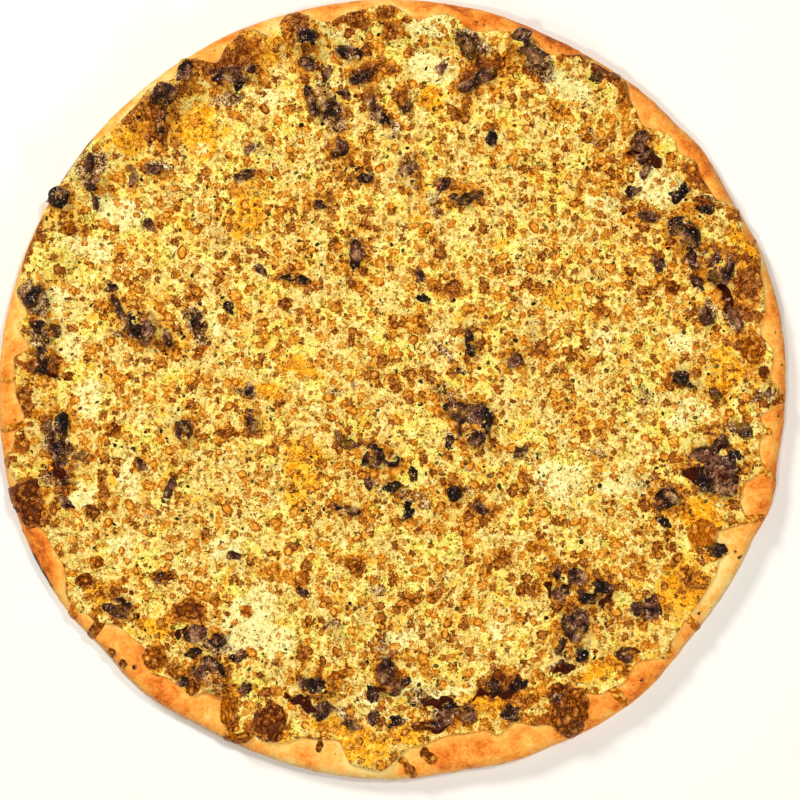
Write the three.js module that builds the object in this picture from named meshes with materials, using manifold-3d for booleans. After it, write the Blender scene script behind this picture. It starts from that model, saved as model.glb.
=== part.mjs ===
// A whole, uncut barbecue steak pizza: a raised crust, one sheet of melted
// cheese over the dough, and pieces of steak lying on the cheese.
//
// Millimetres, +Z up. The origin is the middle of the flat underside.
// A bearing is an angle in degrees from +X, counter-clockwise seen from above.

import * as THREE from "three";
import { mergeVertices } from "three/addons/utils/BufferGeometryUtils.js";
import Module from "manifold-3d";

// ---------------------------------------------------------------- sizes

const RIM_HEIGHT = 14.5; // top of the raised crust
const RIM_HEIGHT_SPREAD = 1.1; // how uneven that is
const RIM_BULGE_HEIGHT = 6; // height of the widest line of the crust
const RIM_CREST_INSET = 8.5; // from the outer edge to the crust's crest
const RIM_INSET = 25; // from the outer edge to the flat dough
const FOOT_INSET = 7; // the underside curls up this far from the edge
const UNDERCUT_INSET = 2.2;
const UNDERCUT_HEIGHT = 1.6;
const DOUGH_THICKNESS = 6.5; // under the topping
const CHEESE_THICKNESS = 3.6;
const CHEESE_ON_RIM = 2; // and where it climbs the rim
const CHEESE_LIP = 1; // thickness of the melted edge
const CHEESE_EDGE_RUN = 8; // the cheese thins towards its edge over this
const CHEESE_LUMPS = 1.1; // height of the broad lumps
const LUMP_SPAN = 17;
const CHEESE_RIPPLES = 0.55; // height of the small ones
const RIPPLE_SPAN = 8;
const GAP = 0.3; // clearance between pieces that lie on each other
const STRAND_HEIGHT = 1.2; // browned cheese standing proud of the crust

const EDGE_STEPS = 144; // points round every edge
const CHEESE_SPACING = 11.4; // between the rings of the cheese's surface

// Outer edge of the crust: bearing, radius.
const CRUST_EDGE = [
  [0, 179.5], [10, 180.4], [20, 180], [30, 177.8], [38, 179.4], [44, 178],
  [65, 177.3], [78, 178.8], [105, 179.1], [150, 179.1], [180, 179.8],
  [203, 180.4], [212, 179.2], [221, 177.2], [230, 178.2], [243, 176.2],
  [260, 176.9], [270, 177.1], [280, 175.6], [290, 177.3], [308, 179.1],
  [320, 176.7], [337, 177.7], [343, 180.4], [350, 178.4], [355, 179.1],
];

// Edge of the melted cheese, with its lobes: bearing, radius.
const CHEESE_EDGE = [
  [0, 174], [2, 170], [6, 172], [9, 167.7], [13, 172], [17, 173.6],
  [21, 177], [23, 172.5], [28, 176.5], [31, 169], [35, 169], [37, 171],
  [40, 167.7], [42, 170], [47, 164.6], [50, 168], [54, 176], [56, 172],
  [60, 175], [63, 170], [65, 166.8], [70, 171], [74, 168.6], [77, 166],
  [82, 171.3], [86, 167.4], [91, 174], [96, 171.4], [100, 168.6],
  [105, 177], [109, 169], [112, 177], [115, 173], [118, 167.8],
  [122, 176.5], [125, 171.8], [129, 175], [132, 173], [137, 172.5],
  [141, 177], [158, 177], [165, 175], [168, 168], [170, 171], [173, 165],
  [175, 170.5], [180, 169], [184, 166], [187, 171], [191, 176],
  [194, 173.5], [199, 171], [203, 168.4], [208, 167.4], [213, 173],
  [217, 169], [221, 162], [226, 161], [229, 166.5], [232, 164],
  [236, 163.5], [239, 159.4], [242, 157.5], [245, 175], [248, 166.5],
  [252, 166], [256, 161], [261, 159.6], [264, 169], [268, 171],
  [273, 161], [279, 157.7], [285, 158.4], [287, 162], [290, 159.3],
  [294, 164], [298, 171], [302, 161], [305, 165.4], [308, 167],
  [312, 164.3], [316, 170], [320, 167.4], [330, 166.8], [334, 164.5],
  [336, 159], [340, 168], [343, 164], [345, 163.7], [348, 169],
  [352, 166.5], [354, 169], [356, 166], [358, 171],
];

// Cheese that ran out over the crust and browned there, seen from above:
// bearing and radius where it starts, bearing and radius where it ends,
// width.
const BROWNED_STRANDS = [
  [53.5, 169, 55.2, 178, 6], [178, 170, 178.2, 176.5, 2.6],
  [184.8, 166, 185.6, 178.5, 3.6], [189.5, 168, 190.6, 178.5, 7],
  [197.2, 166, 196.4, 178, 10], [199.6, 162, 199.2, 175, 9],
  [213.2, 169, 215.2, 178.5, 5], [218.2, 165, 219.2, 177, 5],
  [222.8, 171, 223, 174.5, 4], [225.2, 170.5, 225.4, 174.5, 3.4],
  [227.5, 161, 231, 163, 10], [258.4, 161, 258.3, 166, 3.2],
  [271.2, 165, 273.4, 175.2, 4.6], [274.6, 162, 276.6, 168, 5],
  [297.2, 156, 298.8, 176.5, 14], [306.2, 165, 306.9, 177.5, 5],
  [317.6, 163, 315.8, 173, 7], [322.6, 166, 322.2, 175.6, 4.4],
  [339.4, 166, 341.4, 177.6, 4.4], [348.8, 165, 347.4, 176.6, 4.6],
  [353.8, 165, 354, 172, 4.2], [358.4, 168, 359.2, 178, 4.4],
  [22.2, 171, 22.8, 178.5, 3.4], [27, 171, 27.6, 177.6, 3.6],
  [236, 160, 235.8, 164.6, 4],
];

// Steak lying on the cheese. Each piece is one or more overlapping lumps:
// x, y, length, width, turn in degrees, height above the cheese.
const STEAK = [
  [[-93, 143, 15, 8, 80, 5]],
  [[-103, 133, 16, 12, 20, 6], [-104, 122, 16, 6, 85, 4]],
  [[-134, 94, 11, 8, 30, 4.5]],
  [[-149, 87, 12, 11, 60, 5.5]],
  [[-108, 101, 11, 6, -15, 3.5]],
  [[-75, 142, 17, 9, 12, 5], [-66, 145, 10, 6, 15, 4]],
  [[-39, 160, 12, 12, 0, 5.5]],
  [[-38, 148, 13, 7, -20, 4.5]],
  [[-19, 153, 14, 8, -12, 4]],
  [[-14, 142, 15, 6, 20, 4.5]],
  [[-37, 131, 17, 6, -75, 4]],
  [[-25, 127, 12, 6, -70, 3.5]],
  [[-10, 132, 11, 6, -65, 4], [-5, 124, 11, 6, -50, 3.5]],
  [[-24, 110, 11, 9, -40, 6]],
  [[-15, 98, 14, 8, -20, 5]],
  [[-67, 98, 13, 6, 15, 3.5]],
  [[34, 156, 16, 8, -55, 5]],
  [[58, 157, 13, 10, 70, 6.5], [65, 150, 17, 9, -42, 5]],
  [[42, 143, 12, 8, 28, 4.5], [34, 138, 12, 7, 28, 4.5]],
  [[9, 98, 14, 6, 80, 4]],
  [[31, 87, 13, 7, -12, 5], [38, 89, 9, 6, 20, 4]],
  [[112, 113, 12, 9, 65, 6]],
  [[116, 79, 10, 6, -15, 3.5]],
  [[131, 72, 19, 14, -35, 7]],
  [[148, 56, 17, 13, 75, 6.5]],
  [[151, 41, 12, 6, -64, 4], [155, 33, 13, 6, -62, 4]],
  [[141, 34, 12, 7, -62, 5]],
  [[132, 6, 13, 9, -15, 5]],
  [[146, -1, 9, 6, -40, 4]],
  [[169, -1, 8, 7, -20, 4]],
  [[-161, 43, 13, 8, 65, 5]],
  [[-159, 30, 11, 8, 70, 5]],
  [[-157, 17, 10, 9, 90, 5.5], [-158, 10, 13, 6, 5, 4.5]],
  [[-114, 29, 17, 14, -25, 7], [-124, 38, 14, 5, -65, 4.5]],
  [[-102, 24, 11, 6, -75, 5]],
  [[-89, 31, 11, 6, 90, 4.5]],
  [[-32, 85, 10, 6, 10, 4]],
  [[-44, 51, 18, 6, -6, 4]],
  [[-17, 62, 16, 7, 85, 4.5]],
  [[35, 22, 17, 6, -80, 5]],
  [[55, 14, 9, 9, 0, 5]],
  [[-94, -18, 13, 10, 100, 6]],
  [[-124, -97, 15, 10, -15, 6]],
  [[-63, -13, 13, 6, 90, 5]],
  [[-9, -29, 14, 11, 80, 5.5], [0, -31, 9, 7, 0, 4.5]],
  [[-20, -54, 14, 6, -12, 4]],
  [[37, -15, 20, 17, 70, 6.5], [28, -8, 14, 9, 140, 5]],
  [[28, -46, 9, 8, 60, 4.5]],
  [[40, -53, 10, 6, -35, 4]],
  [[80, -83, 18, 10, -8, 5], [92, -88, 18, 9, -5, 5.5]],
  [[82, -105, 17, 13, 80, 6.5]],
  [[147, -31, 28, 13, -8, 7], [146, -41, 22, 12, -10, 6], [148, -23, 11, 8, 80, 5]],
  [[124, -48, 14, 11, 20, 5.5]],
  [[-82, -127, 18, 15, -50, 7]],
  [[-79, -112, 11, 8, -10, 4.5]],
  [[-35, -133, 19, 9, -5, 5.5]],
  [[-3, -126, 16, 10, 75, 6]],
  [[-150, -15, 14, 9, 80, 5.5], [-151, -25, 14, 8, 85, 5], [-148, -35, 15, 8, -60, 5]],
];

// Crumbs of steak stuck to the cheese: x, y, size.
const STEAK_CRUMBS = [
  [-65, 110, 5], [91, 141, 6.5], [6, 129, 5], [45, 115, 6], [23, 94, 6],
  [109, 91, 6], [141, 83, 6], [120, 58, 6.5], [158, -17, 7], [145, -71, 7],
  [-93, -131, 6], [-32, -145, 8], [-19, -150, 7], [-9, -147, 6],
  [22, -149, 8], [47, -133, 8], [57, -133, 7.5], [53, -145, 7],
  [33, -146, 7], [75, -137, 7.5], [117, -98, 8], [105, -119, 7.5],
  [-111, 76, 5.5], [-127, 47, 5], [12, 53, 5.5],
  [-101, -43, 7], [0, -43, 6.5], [58, -27, 6], [-104, -84, 6.5],
  [-65, 1, 5], [-24, -21, 5.5], [-41, -91, 5.5],
];

// ---------------------------------------------------------------- materials

const CRUST_MATERIAL = { color: 0xe9a45a, roughness: 0.75, metalness: 0 };
const CHEESE_MATERIAL = { color: 0xf2cf62, roughness: 0.4, metalness: 0 };
const STEAK_MATERIAL = { color: 0x3a1d14, roughness: 0.45, metalness: 0 };

// ---------------------------------------------------------------- uneven surfaces

const FULL_TURN = 360;
const toRadians = THREE.MathUtils.degToRad;
const { clamp, lerp, smoothstep } = THREE.MathUtils;

// A repeatable number from -1 to 1 for each point of a whole-number grid,
// made by multiplying its indices by large primes and folding the bits.
const PRIMES = [374761393, 668265263, 974634777];
const FOLDING_PRIME = 1274126177;
const HALF_RANGE = 2 ** 31 - 0.5;
function gridValue(...indices) {
  let h = indices.reduce((sum, index, i) => sum + Math.imul(index, PRIMES[i]), 0);
  h = Math.imul(h ^ (h >>> 13), FOLDING_PRIME);
  h ^= h >>> 16;
  return (h >>> 0) / HALF_RANGE - 1;
}

// Smooth noise from -1 to 1 over space, with lumps about one unit across.
function noise(x, y, z) {
  const [ix, iy, iz] = [Math.floor(x), Math.floor(y), Math.floor(z)];
  const [tx, ty, tz] = [x - ix, y - iy, z - iz].map((t) => t * t * (3 - 2 * t));
  const alongX = (jy, jz) => lerp(gridValue(ix, jy, jz), gridValue(ix + 1, jy, jz), tx);
  const alongY = (jz) => lerp(alongX(iy, jz), alongX(iy + 1, jz), ty);
  return lerp(alongY(iz), alongY(iz + 1), tz);
}

// Reads a closed list of bearing and value at any bearing.
function roundTable(table, bearing) {
  const turned = ((bearing % FULL_TURN) + FULL_TURN) % FULL_TURN;
  const found = table.findIndex(([at]) => at > turned);
  const next = found < 0 ? table.length : found;
  const [fromAt, fromValue] = table[next - 1];
  const first = [table[0][0] + FULL_TURN, table[0][1]];
  const [toAt, toValue] = next < table.length ? table[next] : first;
  return lerp(fromValue, toValue, smoothstep(turned, fromAt, toAt));
}

// The third coordinate of the noise: each kind of unevenness reads its own.
const LAYER = { lumps: 1, ripples: 2, rim: 7 };

const crustRadius = (bearing) => roundTable(CRUST_EDGE, bearing);

// The cheese stops short of the crust's outer side.
const LEAST_BARE_CRUST = 2.6;
function cheeseRadius(bearing) {
  return Math.min(roundTable(CHEESE_EDGE, bearing), crustRadius(bearing) - LEAST_BARE_CRUST);
}

function bearingOf(x, y) {
  return THREE.MathUtils.radToDeg(Math.atan2(y, x));
}

// Height of the dough and of its raised rim, at a bearing and an inset from
// the outer edge.
const RIM_WAVES = 3; // how fast the crest's height changes along the rim
function doughHeight(bearing, inset) {
  const a = toRadians(bearing);
  const wave = noise(RIM_WAVES * Math.cos(a), RIM_WAVES * Math.sin(a), LAYER.rim);
  const crest = RIM_HEIGHT + RIM_HEIGHT_SPREAD * wave;
  if (inset < RIM_CREST_INSET) {
    const t = 1 - Math.max(inset, 0) / RIM_CREST_INSET;
    return RIM_BULGE_HEIGHT + (crest - RIM_BULGE_HEIGHT) * Math.sqrt(1 - t * t);
  }
  return lerp(crest, DOUGH_THICKNESS, smoothstep(inset, RIM_CREST_INSET, RIM_INSET));
}

function doughHeightAt(x, y) {
  const bearing = bearingOf(x, y);
  return doughHeight(bearing, crustRadius(bearing) - Math.hypot(x, y));
}

// Top of the cheese: it follows the dough, with lumps, and thins at its edge.
const LUMPS_LEFT_ON_RIM = 0.33; // the lumps flatten where it climbs the rim
function cheeseHeightAt(x, y) {
  const inset = cheeseRadius(bearingOf(x, y)) - Math.hypot(x, y);
  const dough = doughHeightAt(x, y);
  const climbed = smoothstep(dough, DOUGH_THICKNESS, RIM_HEIGHT);
  const lumps = CHEESE_LUMPS * noise(x / LUMP_SPAN, y / LUMP_SPAN, LAYER.lumps)
    + CHEESE_RIPPLES * noise(x / RIPPLE_SPAN, y / RIPPLE_SPAN, LAYER.ripples);
  const onRim = CHEESE_ON_RIM + lumps * LUMPS_LEFT_ON_RIM;
  const full = lerp(CHEESE_THICKNESS + lumps, onRim, climbed);
  const run = clamp(inset / CHEESE_EDGE_RUN, 0, 1);
  const thickness = lerp(CHEESE_LIP, full, Math.sqrt(run * (2 - run)));
  return dough + GAP + thickness;
}

// ---------------------------------------------------------------- closed skins

// Collects rings of points into one closed surface. The rings run from the
// middle of the underside, outwards and up, and back in over the top.
class Skin {
  constructor() {
    this.points = [];
    this.triangles = [];
  }

  point(x, y, z) {
    this.points.push(x, y, z);
    return this.points.length / 3 - 1;
  }

  // A ring of count points, where place(bearing) gives [radius, height].
  ring(count, place) {
    return Array.from({ length: count }, (_, i) => {
      const bearing = (FULL_TURN * i) / count;
      const [radius, height] = place(bearing);
      const a = toRadians(bearing);
      return this.point(radius * Math.cos(a), radius * Math.sin(a), height);
    });
  }

  // Joins two rings, which may have different numbers of points. A negative
  // lean turns the diagonals the other way, so that two skins can face.
  join(before, after, lean = 1) {
    const [n, m] = [before.length, after.length];
    const tie = (lean * 0.5) / (n * m);
    let [i, j] = [0, 0];
    while (i < n || j < m) {
      if (j === m || (i < n && (i + 1) / n < (j + 1) / m + tie)) {
        this.triangles.push(before[i % n], before[(i + 1) % n], after[j % m]);
        i += 1;
      } else {
        this.triangles.push(before[i % n], after[(j + 1) % m], after[j % m]);
        j += 1;
      }
    }
  }

  joinAll(rings, lean) {
    rings.slice(1).forEach((ring, i) => this.join(rings[i], ring, lean));
  }

  // Closes a ring on a middle point: "below" starts a skin, "above" ends one.
  close(ring, x, y, z, side) {
    const middle = this.point(x, y, z);
    ring.forEach((corner, i) => {
      const next = ring[(i + 1) % ring.length];
      this.triangles.push(middle, ...(side === "above" ? [corner, next] : [next, corner]));
    });
  }

  geometry() {
    const geometry = new THREE.BufferGeometry();
    geometry.setAttribute("position", new THREE.Float32BufferAttribute(this.points, 3));
    geometry.setIndex(this.triangles);
    return geometry;
  }
}

// ---------------------------------------------------------------- joins and cuts

const wasm = await Module();
wasm.setup();

function solidOf(geometry) {
  const bare = geometry.clone();
  bare.deleteAttribute("normal");
  bare.deleteAttribute("uv");
  const merged = mergeVertices(bare);
  return new wasm.Manifold(new wasm.Mesh({
    numProp: 3,
    vertProperties: merged.attributes.position.array,
    triVerts: Uint32Array.from(merged.index.array),
  }));
}

// The largest piece of a solid, without the loose scraps that a cut leaves.
function withoutScraps(solid) {
  return solid.decompose().sort((a, b) => b.volume() - a.volume())[0];
}

function meshOf(solid, name, material) {
  const { vertProperties, triVerts } = solid.getMesh();
  const geometry = new THREE.BufferGeometry();
  geometry.setAttribute("position", new THREE.BufferAttribute(vertProperties, 3));
  geometry.setIndex(new THREE.BufferAttribute(triVerts, 1));
  const mesh = new THREE.Mesh(geometry, new THREE.MeshStandardMaterial(material));
  mesh.name = name;
  return mesh;
}

// ---------------------------------------------------------------- crust

// Insets of the lines that the crust and the underside of the cheese share,
// from the cheese's edge in to the flat dough.
const SHARED_LINES = [0, 0.5, 1];
function sharedRing(skin, share, lift) {
  return skin.ring(EDGE_STEPS, (bearing) => {
    const bare = crustRadius(bearing) - cheeseRadius(bearing);
    const inset = lerp(bare, RIM_INSET, share);
    return [crustRadius(bearing) - inset, doughHeight(bearing, inset) + lift];
  });
}

// Where the crust's bare skin is marked out, as shares of the way from its
// outer edge to the cheese.
const BARE_LINES = [0, 0.1, 0.35, 0.65];
function crustBase() {
  const skin = new Skin();
  const edgeRing = (inset, height) => skin.ring(EDGE_STEPS, (bearing) => [
    crustRadius(bearing) - inset, height,
  ]);
  const bareRing = (share) => skin.ring(EDGE_STEPS, (bearing) => {
    const inset = share * (crustRadius(bearing) - cheeseRadius(bearing));
    return [crustRadius(bearing) - inset, doughHeight(bearing, inset)];
  });
  const rings = [
    edgeRing(FOOT_INSET, 0),
    edgeRing(UNDERCUT_INSET, UNDERCUT_HEIGHT),
    ...BARE_LINES.map(bareRing),
    ...SHARED_LINES.map((share) => sharedRing(skin, share, 0)),
  ];
  skin.joinAll(rings);
  skin.close(rings[0], 0, 0, 0, "below");
  skin.close(rings.at(-1), 0, 0, DOUGH_THICKNESS, "above");
  return solidOf(skin.geometry());
}

// One browned strand, draped over the crust: a flattened bead that swells
// from a point to its full width and closes again.
const STRAND_LINES = [0.15, 0.5, 0.85];
const STRAND_EDGE_SINK = 0.5;
const STRAND_SINK = 1.5;
function strand([startBearing, startRadius, endBearing, endRadius, width]) {
  const at = (bearing, radius) => new THREE.Vector2(radius, 0)
    .rotateAround(new THREE.Vector2(), toRadians(bearing));
  const start = at(startBearing, startRadius);
  const end = at(endBearing, endRadius);
  const side = end.clone().sub(start).normalize().rotateAround(new THREE.Vector2(), Math.PI / 2);
  const skin = new Skin();
  const drape = (spot, lift) => skin.point(spot.x, spot.y, doughHeightAt(spot.x, spot.y) + lift);
  const rings = STRAND_LINES.map((share) => {
    const middle = start.clone().lerp(end, share);
    const swell = Math.sqrt(1 - (2 * share - 1) ** 2);
    const reach = side.clone().multiplyScalar((swell * width) / 2);
    return [
      drape(middle, swell * STRAND_HEIGHT),
      drape(middle.clone().sub(reach), -STRAND_EDGE_SINK),
      drape(middle, -STRAND_SINK),
      drape(middle.clone().add(reach), -STRAND_EDGE_SINK),
    ];
  });
  skin.joinAll(rings);
  const tipHeight = (tip) => doughHeightAt(tip.x, tip.y) - STRAND_EDGE_SINK;
  skin.close(rings[0], start.x, start.y, tipHeight(start), "below");
  skin.close(rings.at(-1), end.x, end.y, tipHeight(end), "above");
  return solidOf(skin.geometry());
}

// Everything above and below the cheese, a little wider than the cheese.
const SPACE_HEIGHT = 60;
const SPACE_MARGIN = 0.95;
function cheeseSpace() {
  const skin = new Skin();
  const wall = (height) => skin.ring(EDGE_STEPS, (bearing) => [
    cheeseRadius(bearing) + SPACE_MARGIN, height,
  ]);
  const rings = [wall(-SPACE_HEIGHT), wall(SPACE_HEIGHT)];
  skin.joinAll(rings);
  skin.close(rings[0], 0, 0, -SPACE_HEIGHT, "below");
  skin.close(rings[1], 0, 0, SPACE_HEIGHT, "above");
  return solidOf(skin.geometry());
}

function crust() {
  const strands = BROWNED_STRANDS.map(strand).reduce((all, one) => all.add(one));
  return crustBase().add(strands.subtract(cheeseSpace()));
}

// ---------------------------------------------------------------- cheese

// Insets of the surface's outer rings from the cheese's edge, close together
// where the cheese comes down from the rim.
const SURFACE_INSETS = [0.5, 3.5, 8, 13, 19];
function cheeseSheet() {
  const skin = new Skin();
  const underside = SHARED_LINES.toReversed().map((share) => sharedRing(skin, share, GAP));
  const surfaceRing = (count, share, inset) => skin.ring(count, (bearing) => {
    const a = toRadians(bearing);
    const radius = share * (cheeseRadius(bearing) - inset);
    return [radius, cheeseHeightAt(radius * Math.cos(a), radius * Math.sin(a))];
  });
  const outer = SURFACE_INSETS.map((inset) => surfaceRing(EDGE_STEPS, 1, inset));
  const flatInset = SURFACE_INSETS.at(-1);
  const meanRadius = CHEESE_EDGE.reduce((sum, [, radius]) => sum + radius, 0) / CHEESE_EDGE.length;
  const flatRadius = meanRadius - flatInset;
  const ringCount = Math.round(flatRadius / CHEESE_SPACING);
  const inner = Array.from({ length: ringCount - 1 }, (_, i) => {
    const share = 1 - (i + 1) / ringCount;
    const count = Math.round((2 * Math.PI * share * flatRadius) / CHEESE_SPACING);
    return surfaceRing(count, share, flatInset);
  });
  skin.close(underside[0], 0, 0, DOUGH_THICKNESS + GAP, "below");
  skin.joinAll(underside, -1);
  skin.joinAll([underside.at(-1), ...outer, ...inner]);
  skin.close(inner.at(-1), 0, 0, cheeseHeightAt(0, 0), "above");
  return solidOf(skin.geometry());
}

// ---------------------------------------------------------------- steak

// A rough lump of meat: a ball pulled to its sizes, with blunt corners and
// torn, uneven sides.
const LUMP_ROUGHNESS = 0.2;
const LUMP_SQUARENESS = 0.72;
const LUMP_HALF_HEIGHT = 0.62; // share of its height; the rest is sunk
const LUMP_NOISE = 1.7; // how fine the unevenness is over the ball
const LARGE_LUMP_AREA = 200;
function steakLump([x, y, length, width, turn, height], lump) {
  const corners = lump.attributes.position;
  const corner = new THREE.Vector3();
  for (let i = 0; i < corners.count; i += 1) {
    corner.fromBufferAttribute(corners, i).normalize();
    const read = corner.clone().multiplyScalar(LUMP_NOISE);
    const swell = 1 + LUMP_ROUGHNESS * noise(read.x + x, read.y + y, read.z + length);
    const blunt = (t) => Math.sign(t) * Math.abs(t) ** LUMP_SQUARENESS * swell;
    corners.setXYZ(i, blunt(corner.x), blunt(corner.y), blunt(corner.z));
  }
  lump.scale(length / 2, width / 2, height * LUMP_HALF_HEIGHT);
  lump.rotateZ(toRadians(turn));
  lump.translate(x, y, cheeseHeightAt(x, y) + height * (1 - LUMP_HALF_HEIGHT));
  return solidOf(lump);
}

function steakPiece(lumps) {
  return lumps.map((lump) => {
    const large = lump[2] * lump[3] > LARGE_LUMP_AREA;
    const ball = large ? new THREE.IcosahedronGeometry(1, 1) : new THREE.OctahedronGeometry(1, 1);
    return steakLump(lump, ball);
  }).reduce((all, one) => all.add(one));
}

const CRUMB_WIDTH = 0.75; // shares of a crumb's size
const CRUMB_HEIGHT = 0.4;
const CRUMB_TURN = 10; // degrees of turn from one crumb to another, per mm
function crumb([x, y, size]) {
  const sizes = [x, y, size, size * CRUMB_WIDTH, x * CRUMB_TURN, size * CRUMB_HEIGHT];
  return steakLump(sizes, new THREE.IcosahedronGeometry(1, 0));
}

// ---------------------------------------------------------------- the pizza

const pizza = new THREE.Group();

const bread = crust();
const cheese = cheeseSheet();
const cheeseWithCrumbs = STEAK_CRUMBS.map(crumb).reduce((all, one) => all.add(one), cheese);
pizza.add(meshOf(bread, "crust", CRUST_MATERIAL));
pizza.add(meshOf(cheeseWithCrumbs, "cheese", CHEESE_MATERIAL));

// Each piece of steak is cut to lie just clear of what is under it.
const raised = (solid) => solid.translate([0, 0, GAP]);
const underSteak = [cheeseWithCrumbs, raised(cheeseWithCrumbs), raised(bread)];
STEAK.forEach((lumps, i) => {
  const name = `steak_${String(i + 1).padStart(2, "0")}`;
  const piece = underSteak.reduce((left, under) => left.subtract(under), steakPiece(lumps));
  pizza.add(meshOf(withoutScraps(piece), name, STEAK_MATERIAL));
});

// The middle of the outline goes on the origin.
const middle = new THREE.Box3().setFromObject(pizza).getCenter(new THREE.Vector3());
pizza.position.set(-middle.x, -middle.y, 0);
pizza.updateMatrixWorld(true);

export default pizza;
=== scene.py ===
# The look of a whole, uncut barbecue steak pizza: baked crust, blistered melted
# cheese, glazed steak, browned drips, sauce, herbs and pepper.
#
# Lengths are in millimetres until a mesh is made, and metres in the scene.
# A bearing is an angle in degrees from +X, counter-clockwise seen from above.

import math

import bmesh
import bpy
import numpy as np
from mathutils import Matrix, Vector
from mathutils.bvhtree import BVHTree
from mathutils.kdtree import KDTree


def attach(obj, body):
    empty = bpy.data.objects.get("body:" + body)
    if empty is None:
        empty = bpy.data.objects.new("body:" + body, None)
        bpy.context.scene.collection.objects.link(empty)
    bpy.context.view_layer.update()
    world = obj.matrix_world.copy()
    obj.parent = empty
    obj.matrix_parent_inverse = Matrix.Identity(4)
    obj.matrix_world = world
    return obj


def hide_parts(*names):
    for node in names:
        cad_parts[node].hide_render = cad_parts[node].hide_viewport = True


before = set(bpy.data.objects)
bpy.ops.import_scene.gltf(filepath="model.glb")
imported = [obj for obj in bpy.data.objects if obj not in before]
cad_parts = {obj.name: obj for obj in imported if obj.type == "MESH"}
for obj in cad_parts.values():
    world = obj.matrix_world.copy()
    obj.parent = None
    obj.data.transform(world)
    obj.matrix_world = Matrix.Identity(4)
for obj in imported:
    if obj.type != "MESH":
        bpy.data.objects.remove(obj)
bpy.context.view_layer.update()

MM = 0.001

# ---------------------------------------------------------------- sizes

OUTLINE_SHIFT = (0.15, -0.91)  # puts the middle of the outline on the origin

RIM_HEIGHT = 14.5
RIM_HEIGHT_SPREAD = 1.1
RIM_BULGE_HEIGHT = 6.0
RIM_CREST_INSET = 8.5
RIM_INSET = 25.0
FOOT_INSET = 7.0
DOUGH_THICKNESS = 6.5
CHEESE_THICKNESS = 3.6
CHEESE_ON_RIM = 2.0
CHEESE_LIP = 0.8
CHEESE_EDGE_RUN = 8.0
CHEESE_LUMPS = 1.1
LUMP_SPAN = 17.0
CHEESE_RIPPLES = 0.55
RIPPLE_SPAN = 8.0
GAP = 0.3
STRAND_HEIGHT = 1.2
LEAST_BARE_CRUST = 2.6

# Outer edge of the crust: bearing, radius.
CRUST_EDGE = [
    (0, 179.5), (10, 180.4), (20, 180), (30, 177.8), (38, 179.4), (44, 178),
    (65, 177.3), (78, 178.8), (105, 179.1), (150, 179.1), (180, 179.8),
    (203, 180.4), (212, 179.2), (221, 177.2), (230, 178.2), (243, 176.2),
    (260, 176.9), (270, 177.1), (280, 175.6), (290, 177.3), (308, 179.1),
    (320, 176.7), (337, 177.7), (343, 180.4), (350, 178.4), (355, 179.1),
]

# Edge of the melted cheese, with its lobes: bearing, radius.
CHEESE_EDGE = [
    (0, 174), (2, 170), (6, 172), (9, 167.7), (13, 172), (17, 173.6),
    (21, 177), (23, 172.5), (28, 176.5), (31, 169), (35, 169), (37, 171),
    (40, 167.7), (42, 170), (47, 164.6), (50, 168), (54, 176), (56, 172),
    (60, 175), (63, 170), (65, 166.8), (70, 171), (74, 168.6), (77, 166),
    (82, 171.3), (86, 167.4), (91, 174), (96, 171.4), (100, 168.6),
    (105, 177), (109, 169), (112, 177), (115, 173), (118, 167.8),
    (122, 176.5), (125, 171.8), (129, 175), (132, 173), (137, 172.5),
    (141, 177), (158, 177), (165, 175), (168, 168), (170, 171), (173, 165),
    (175, 170.5), (180, 169), (184, 166), (187, 171), (191, 176),
    (194, 173.5), (199, 171), (203, 168.4), (208, 167.4), (213, 173),
    (217, 169), (221, 162), (226, 161), (229, 166.5), (232, 164),
    (236, 163.5), (239, 159.4), (242, 157.5), (245, 175), (248, 166.5),
    (252, 166), (256, 161), (261, 159.6), (264, 169), (268, 171),
    (273, 161), (279, 157.7), (285, 158.4), (287, 162), (290, 159.3),
    (294, 164), (298, 171), (302, 161), (305, 165.4), (308, 167),
    (312, 164.3), (316, 170), (320, 167.4), (330, 166.8), (334, 164.5),
    (336, 159), (340, 168), (343, 164), (345, 163.7), (348, 169),
    (352, 166.5), (354, 169), (356, 166), (358, 171),
]

# Cheese that ran out over the crust and browned: bearing and radius where it
# starts, bearing and radius where it ends, width.
BROWNED_STRANDS = [
    (53.5, 169, 54.8, 175.4, 6), (178, 170, 178.2, 176.5, 2.6),
    (184.8, 166, 185.6, 178.5, 3.6), (189.5, 168, 190.6, 178.5, 7),
    (197.2, 166, 196.4, 178, 10), (199.6, 162, 199.2, 175, 9),
    (213.2, 169, 215.2, 178.5, 5), (218.2, 165, 219.2, 177, 5),
    (222.8, 171, 223, 174.5, 4), (225.2, 170.5, 225.4, 174.5, 3.4),
    (227.5, 161, 231, 163, 10), (258.4, 161, 258.3, 166, 3.2),
    (271.2, 165, 273.4, 175.2, 4.6), (274.6, 162, 276.6, 168, 5),
    (297.2, 156, 298.8, 176.5, 14), (306.2, 165, 306.9, 177.5, 5),
    (317.6, 163, 315.8, 173, 7), (322.6, 166, 322.2, 175.6, 4.4),
    (339.4, 166, 341.4, 177.6, 4.4), (348.8, 165, 347.4, 176.6, 4.6),
    (353.8, 165, 354, 172, 4.2), (358.4, 168, 359.2, 178, 4.4),
    (22.2, 171, 22.8, 178.5, 3.4), (27, 171, 27.6, 177.6, 3.6),
    (236, 160, 235.8, 164.6, 4),
]

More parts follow.
